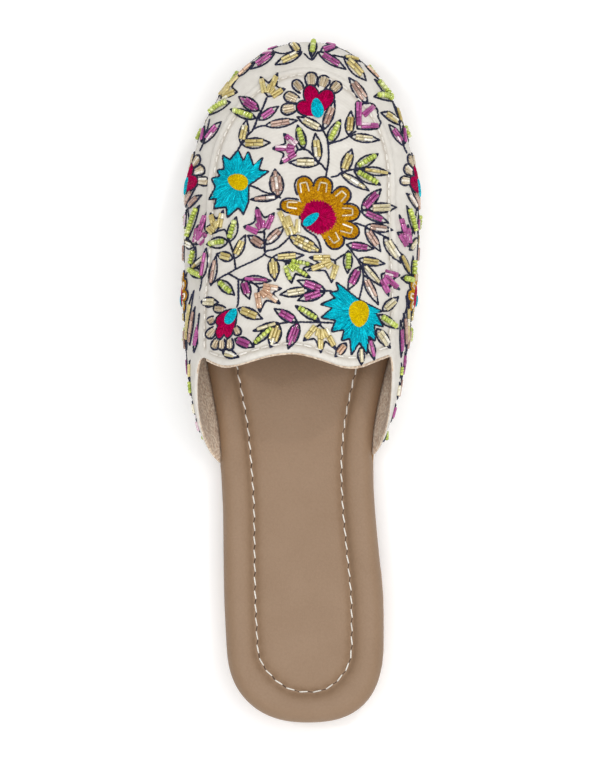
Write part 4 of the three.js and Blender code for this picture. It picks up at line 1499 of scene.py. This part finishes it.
blue_flower(on_vamp, "blue_toe_petals", BLUE_TOE_SPIKES, BLUE_TOE_EYE)
blue_flower(on_vamp, "blue_throat_petals", BLUE_THROAT_SPIKES, BLUE_THROAT_EYE)
gold_flower(on_vamp, "gold_petals", "gold_flower_heart", "turquoise_eyes")
red_toe_flower(on_vamp, "red_toe_lobes", "turquoise_eyes")
red_throat_flower(on_vamp, "red_throat_lobes", "turquoise_eyes")
for side, foot in RED_WALL_FEET:
    wall = on_wall(side)
    red_toe_flower(moved_to(wall, RED_TOE_FOOT, foot, RED_WALL_TURN), "wall_crimson", "wall_turquoise")
    gold_place = moved_to(wall, GOLD_HEART, GOLD_WALL_HEART, GOLD_WALL_TURN, GOLD_WALL_SCALE)
    gold_flower(gold_place, "wall_gold", "wall_crimson", "wall_turquoise")

for name, (thread, node) in SATIN_PIECES.items():
    flower = satin_works[name].piece(name, thread_materials[thread])
    if node:
        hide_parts(node)

# Thread and glass: the navy cotton is one piece, and the beads of each colour are one piece.
# The beads are lined glass, so each has a clear skin over a bright, uneven lining.

SEED_PAINTED_GLINTS = 0.5
BUGLE_PAINTED_GLINTS = 1.2


def glass_finish(name, deep, bright, painted_glint_strength):
    # White for the painted glint.
    white = colour(255, 253, 246)
    finish = Finish(name, Metallic=0.2, Coat_Weight=0.9, Coat_Roughness=0.06, IOR=1.5)
    tone = finish.attribute("tone")
    streaks = finish.noise(0.7, 2)
    lining = finish.mix(tone * 0.7 + streaks.steep(2) * 0.35, colour(*deep), colour(*bright))
    # Beads of the highest tone get white mixed into their colour: a painted glint.
    painted_glint = (1 - tone.below(0.9)) * streaks * painted_glint_strength
    finish.paint(finish.mix(painted_glint, lining, white), 0.2 + 0.2 * streaks)
    return finish.material


navy_thread = thread_finish("navy_thread", (15, 18, 36), (46, 50, 78), roughness=0.6, gloss=0.2)
navy.piece("navy_outlines", navy_thread)
for name, (deep, bright) in BEAD_COLOURS.items():
    painted_glint_strength = SEED_PAINTED_GLINTS if name == "lime" else BUGLE_PAINTED_GLINTS
    beads[name].piece(name + "_beads", glass_finish(name + "_glass", deep, bright, painted_glint_strength))

# Studio: a white light table under the shoe, an even white surround, and large soft boxes. Two
# small lamps far off put real glints on the beads; the white glints in the bead colour are painted.

FLOOR_SIZE = 6
SURROUND = 0.3
LAMPS = {
    "top_box": ((0.1, -0.1, 2.0), (0, 0, 0), 2.0, 25),
    "key_box": ((0.7, 0.35, 1.05), (0, 0.02, 0.02), 0.9, 2.2),
    "heel_box": ((0.05, -1.1, 0.6), (0, 0, 0.02), 0.8, 3.2),
    "glint_right": ((0.55, 0.75, 1.2), (0, 0.06, 0.04), 0.1, 2.2),
    "glint_left": ((-0.5, 0.2, 1.3), (0, 0.06, 0.04), 0.1, 1.8),
}
PHOTO_HEIGHT_PIXELS = 767
FOCAL_PIXELS = 3043.6
SENSOR = 36

bpy.ops.object.select_all(action="DESELECT")
bpy.ops.mesh.primitive_plane_add(size=FLOOR_SIZE)
floor = bpy.context.object
floor.name = "floor"
white = Finish("white_sweep", Roughness=0.9, Emission_Color=(1, 1, 1, 1), Emission_Strength=0.12)
white.paint(white.mix(white.noise(400), colour(247, 247, 247), colour(250, 250, 250)))
floor.data.materials.append(white.material)

world = bpy.data.worlds.new("surround")
world.use_nodes = True
world.node_tree.nodes["Background"].inputs["Color"].default_value = (1, 1, 1, 1)
world.node_tree.nodes["Background"].inputs["Strength"].default_value = SURROUND
bpy.context.scene.world = world
bpy.context.scene.view_settings.view_transform = "Standard"

for name, (place, aim, size, watts) in LAMPS.items():
    bpy.ops.object.light_add(type="AREA", location=place)
    lamp = bpy.context.object
    lamp.name = name
    lamp.data.shape = "SQUARE"
    lamp.data.size = size
    lamp.data.energy = watts
    lamp.rotation_euler = (Vector(aim) - Vector(place)).to_track_quat("-Z", "Y").to_euler()

bpy.ops.object.camera_add(location=EYE)
camera = bpy.context.object
camera.name = "camera"
camera.data.sensor_width = SENSOR
camera.data.lens = FOCAL_PIXELS / PHOTO_HEIGHT_PIXELS * SENSOR
aim = (cad_box[0] + cad_box[1]) / 2
ahead = (aim - EYE).normalized()
right = ahead.cross(Vector((0, 1, 0))).normalized()
camera.rotation_euler = Matrix((right, right.cross(ahead), -ahead)).transposed().to_euler()
bpy.context.scene.camera = camera
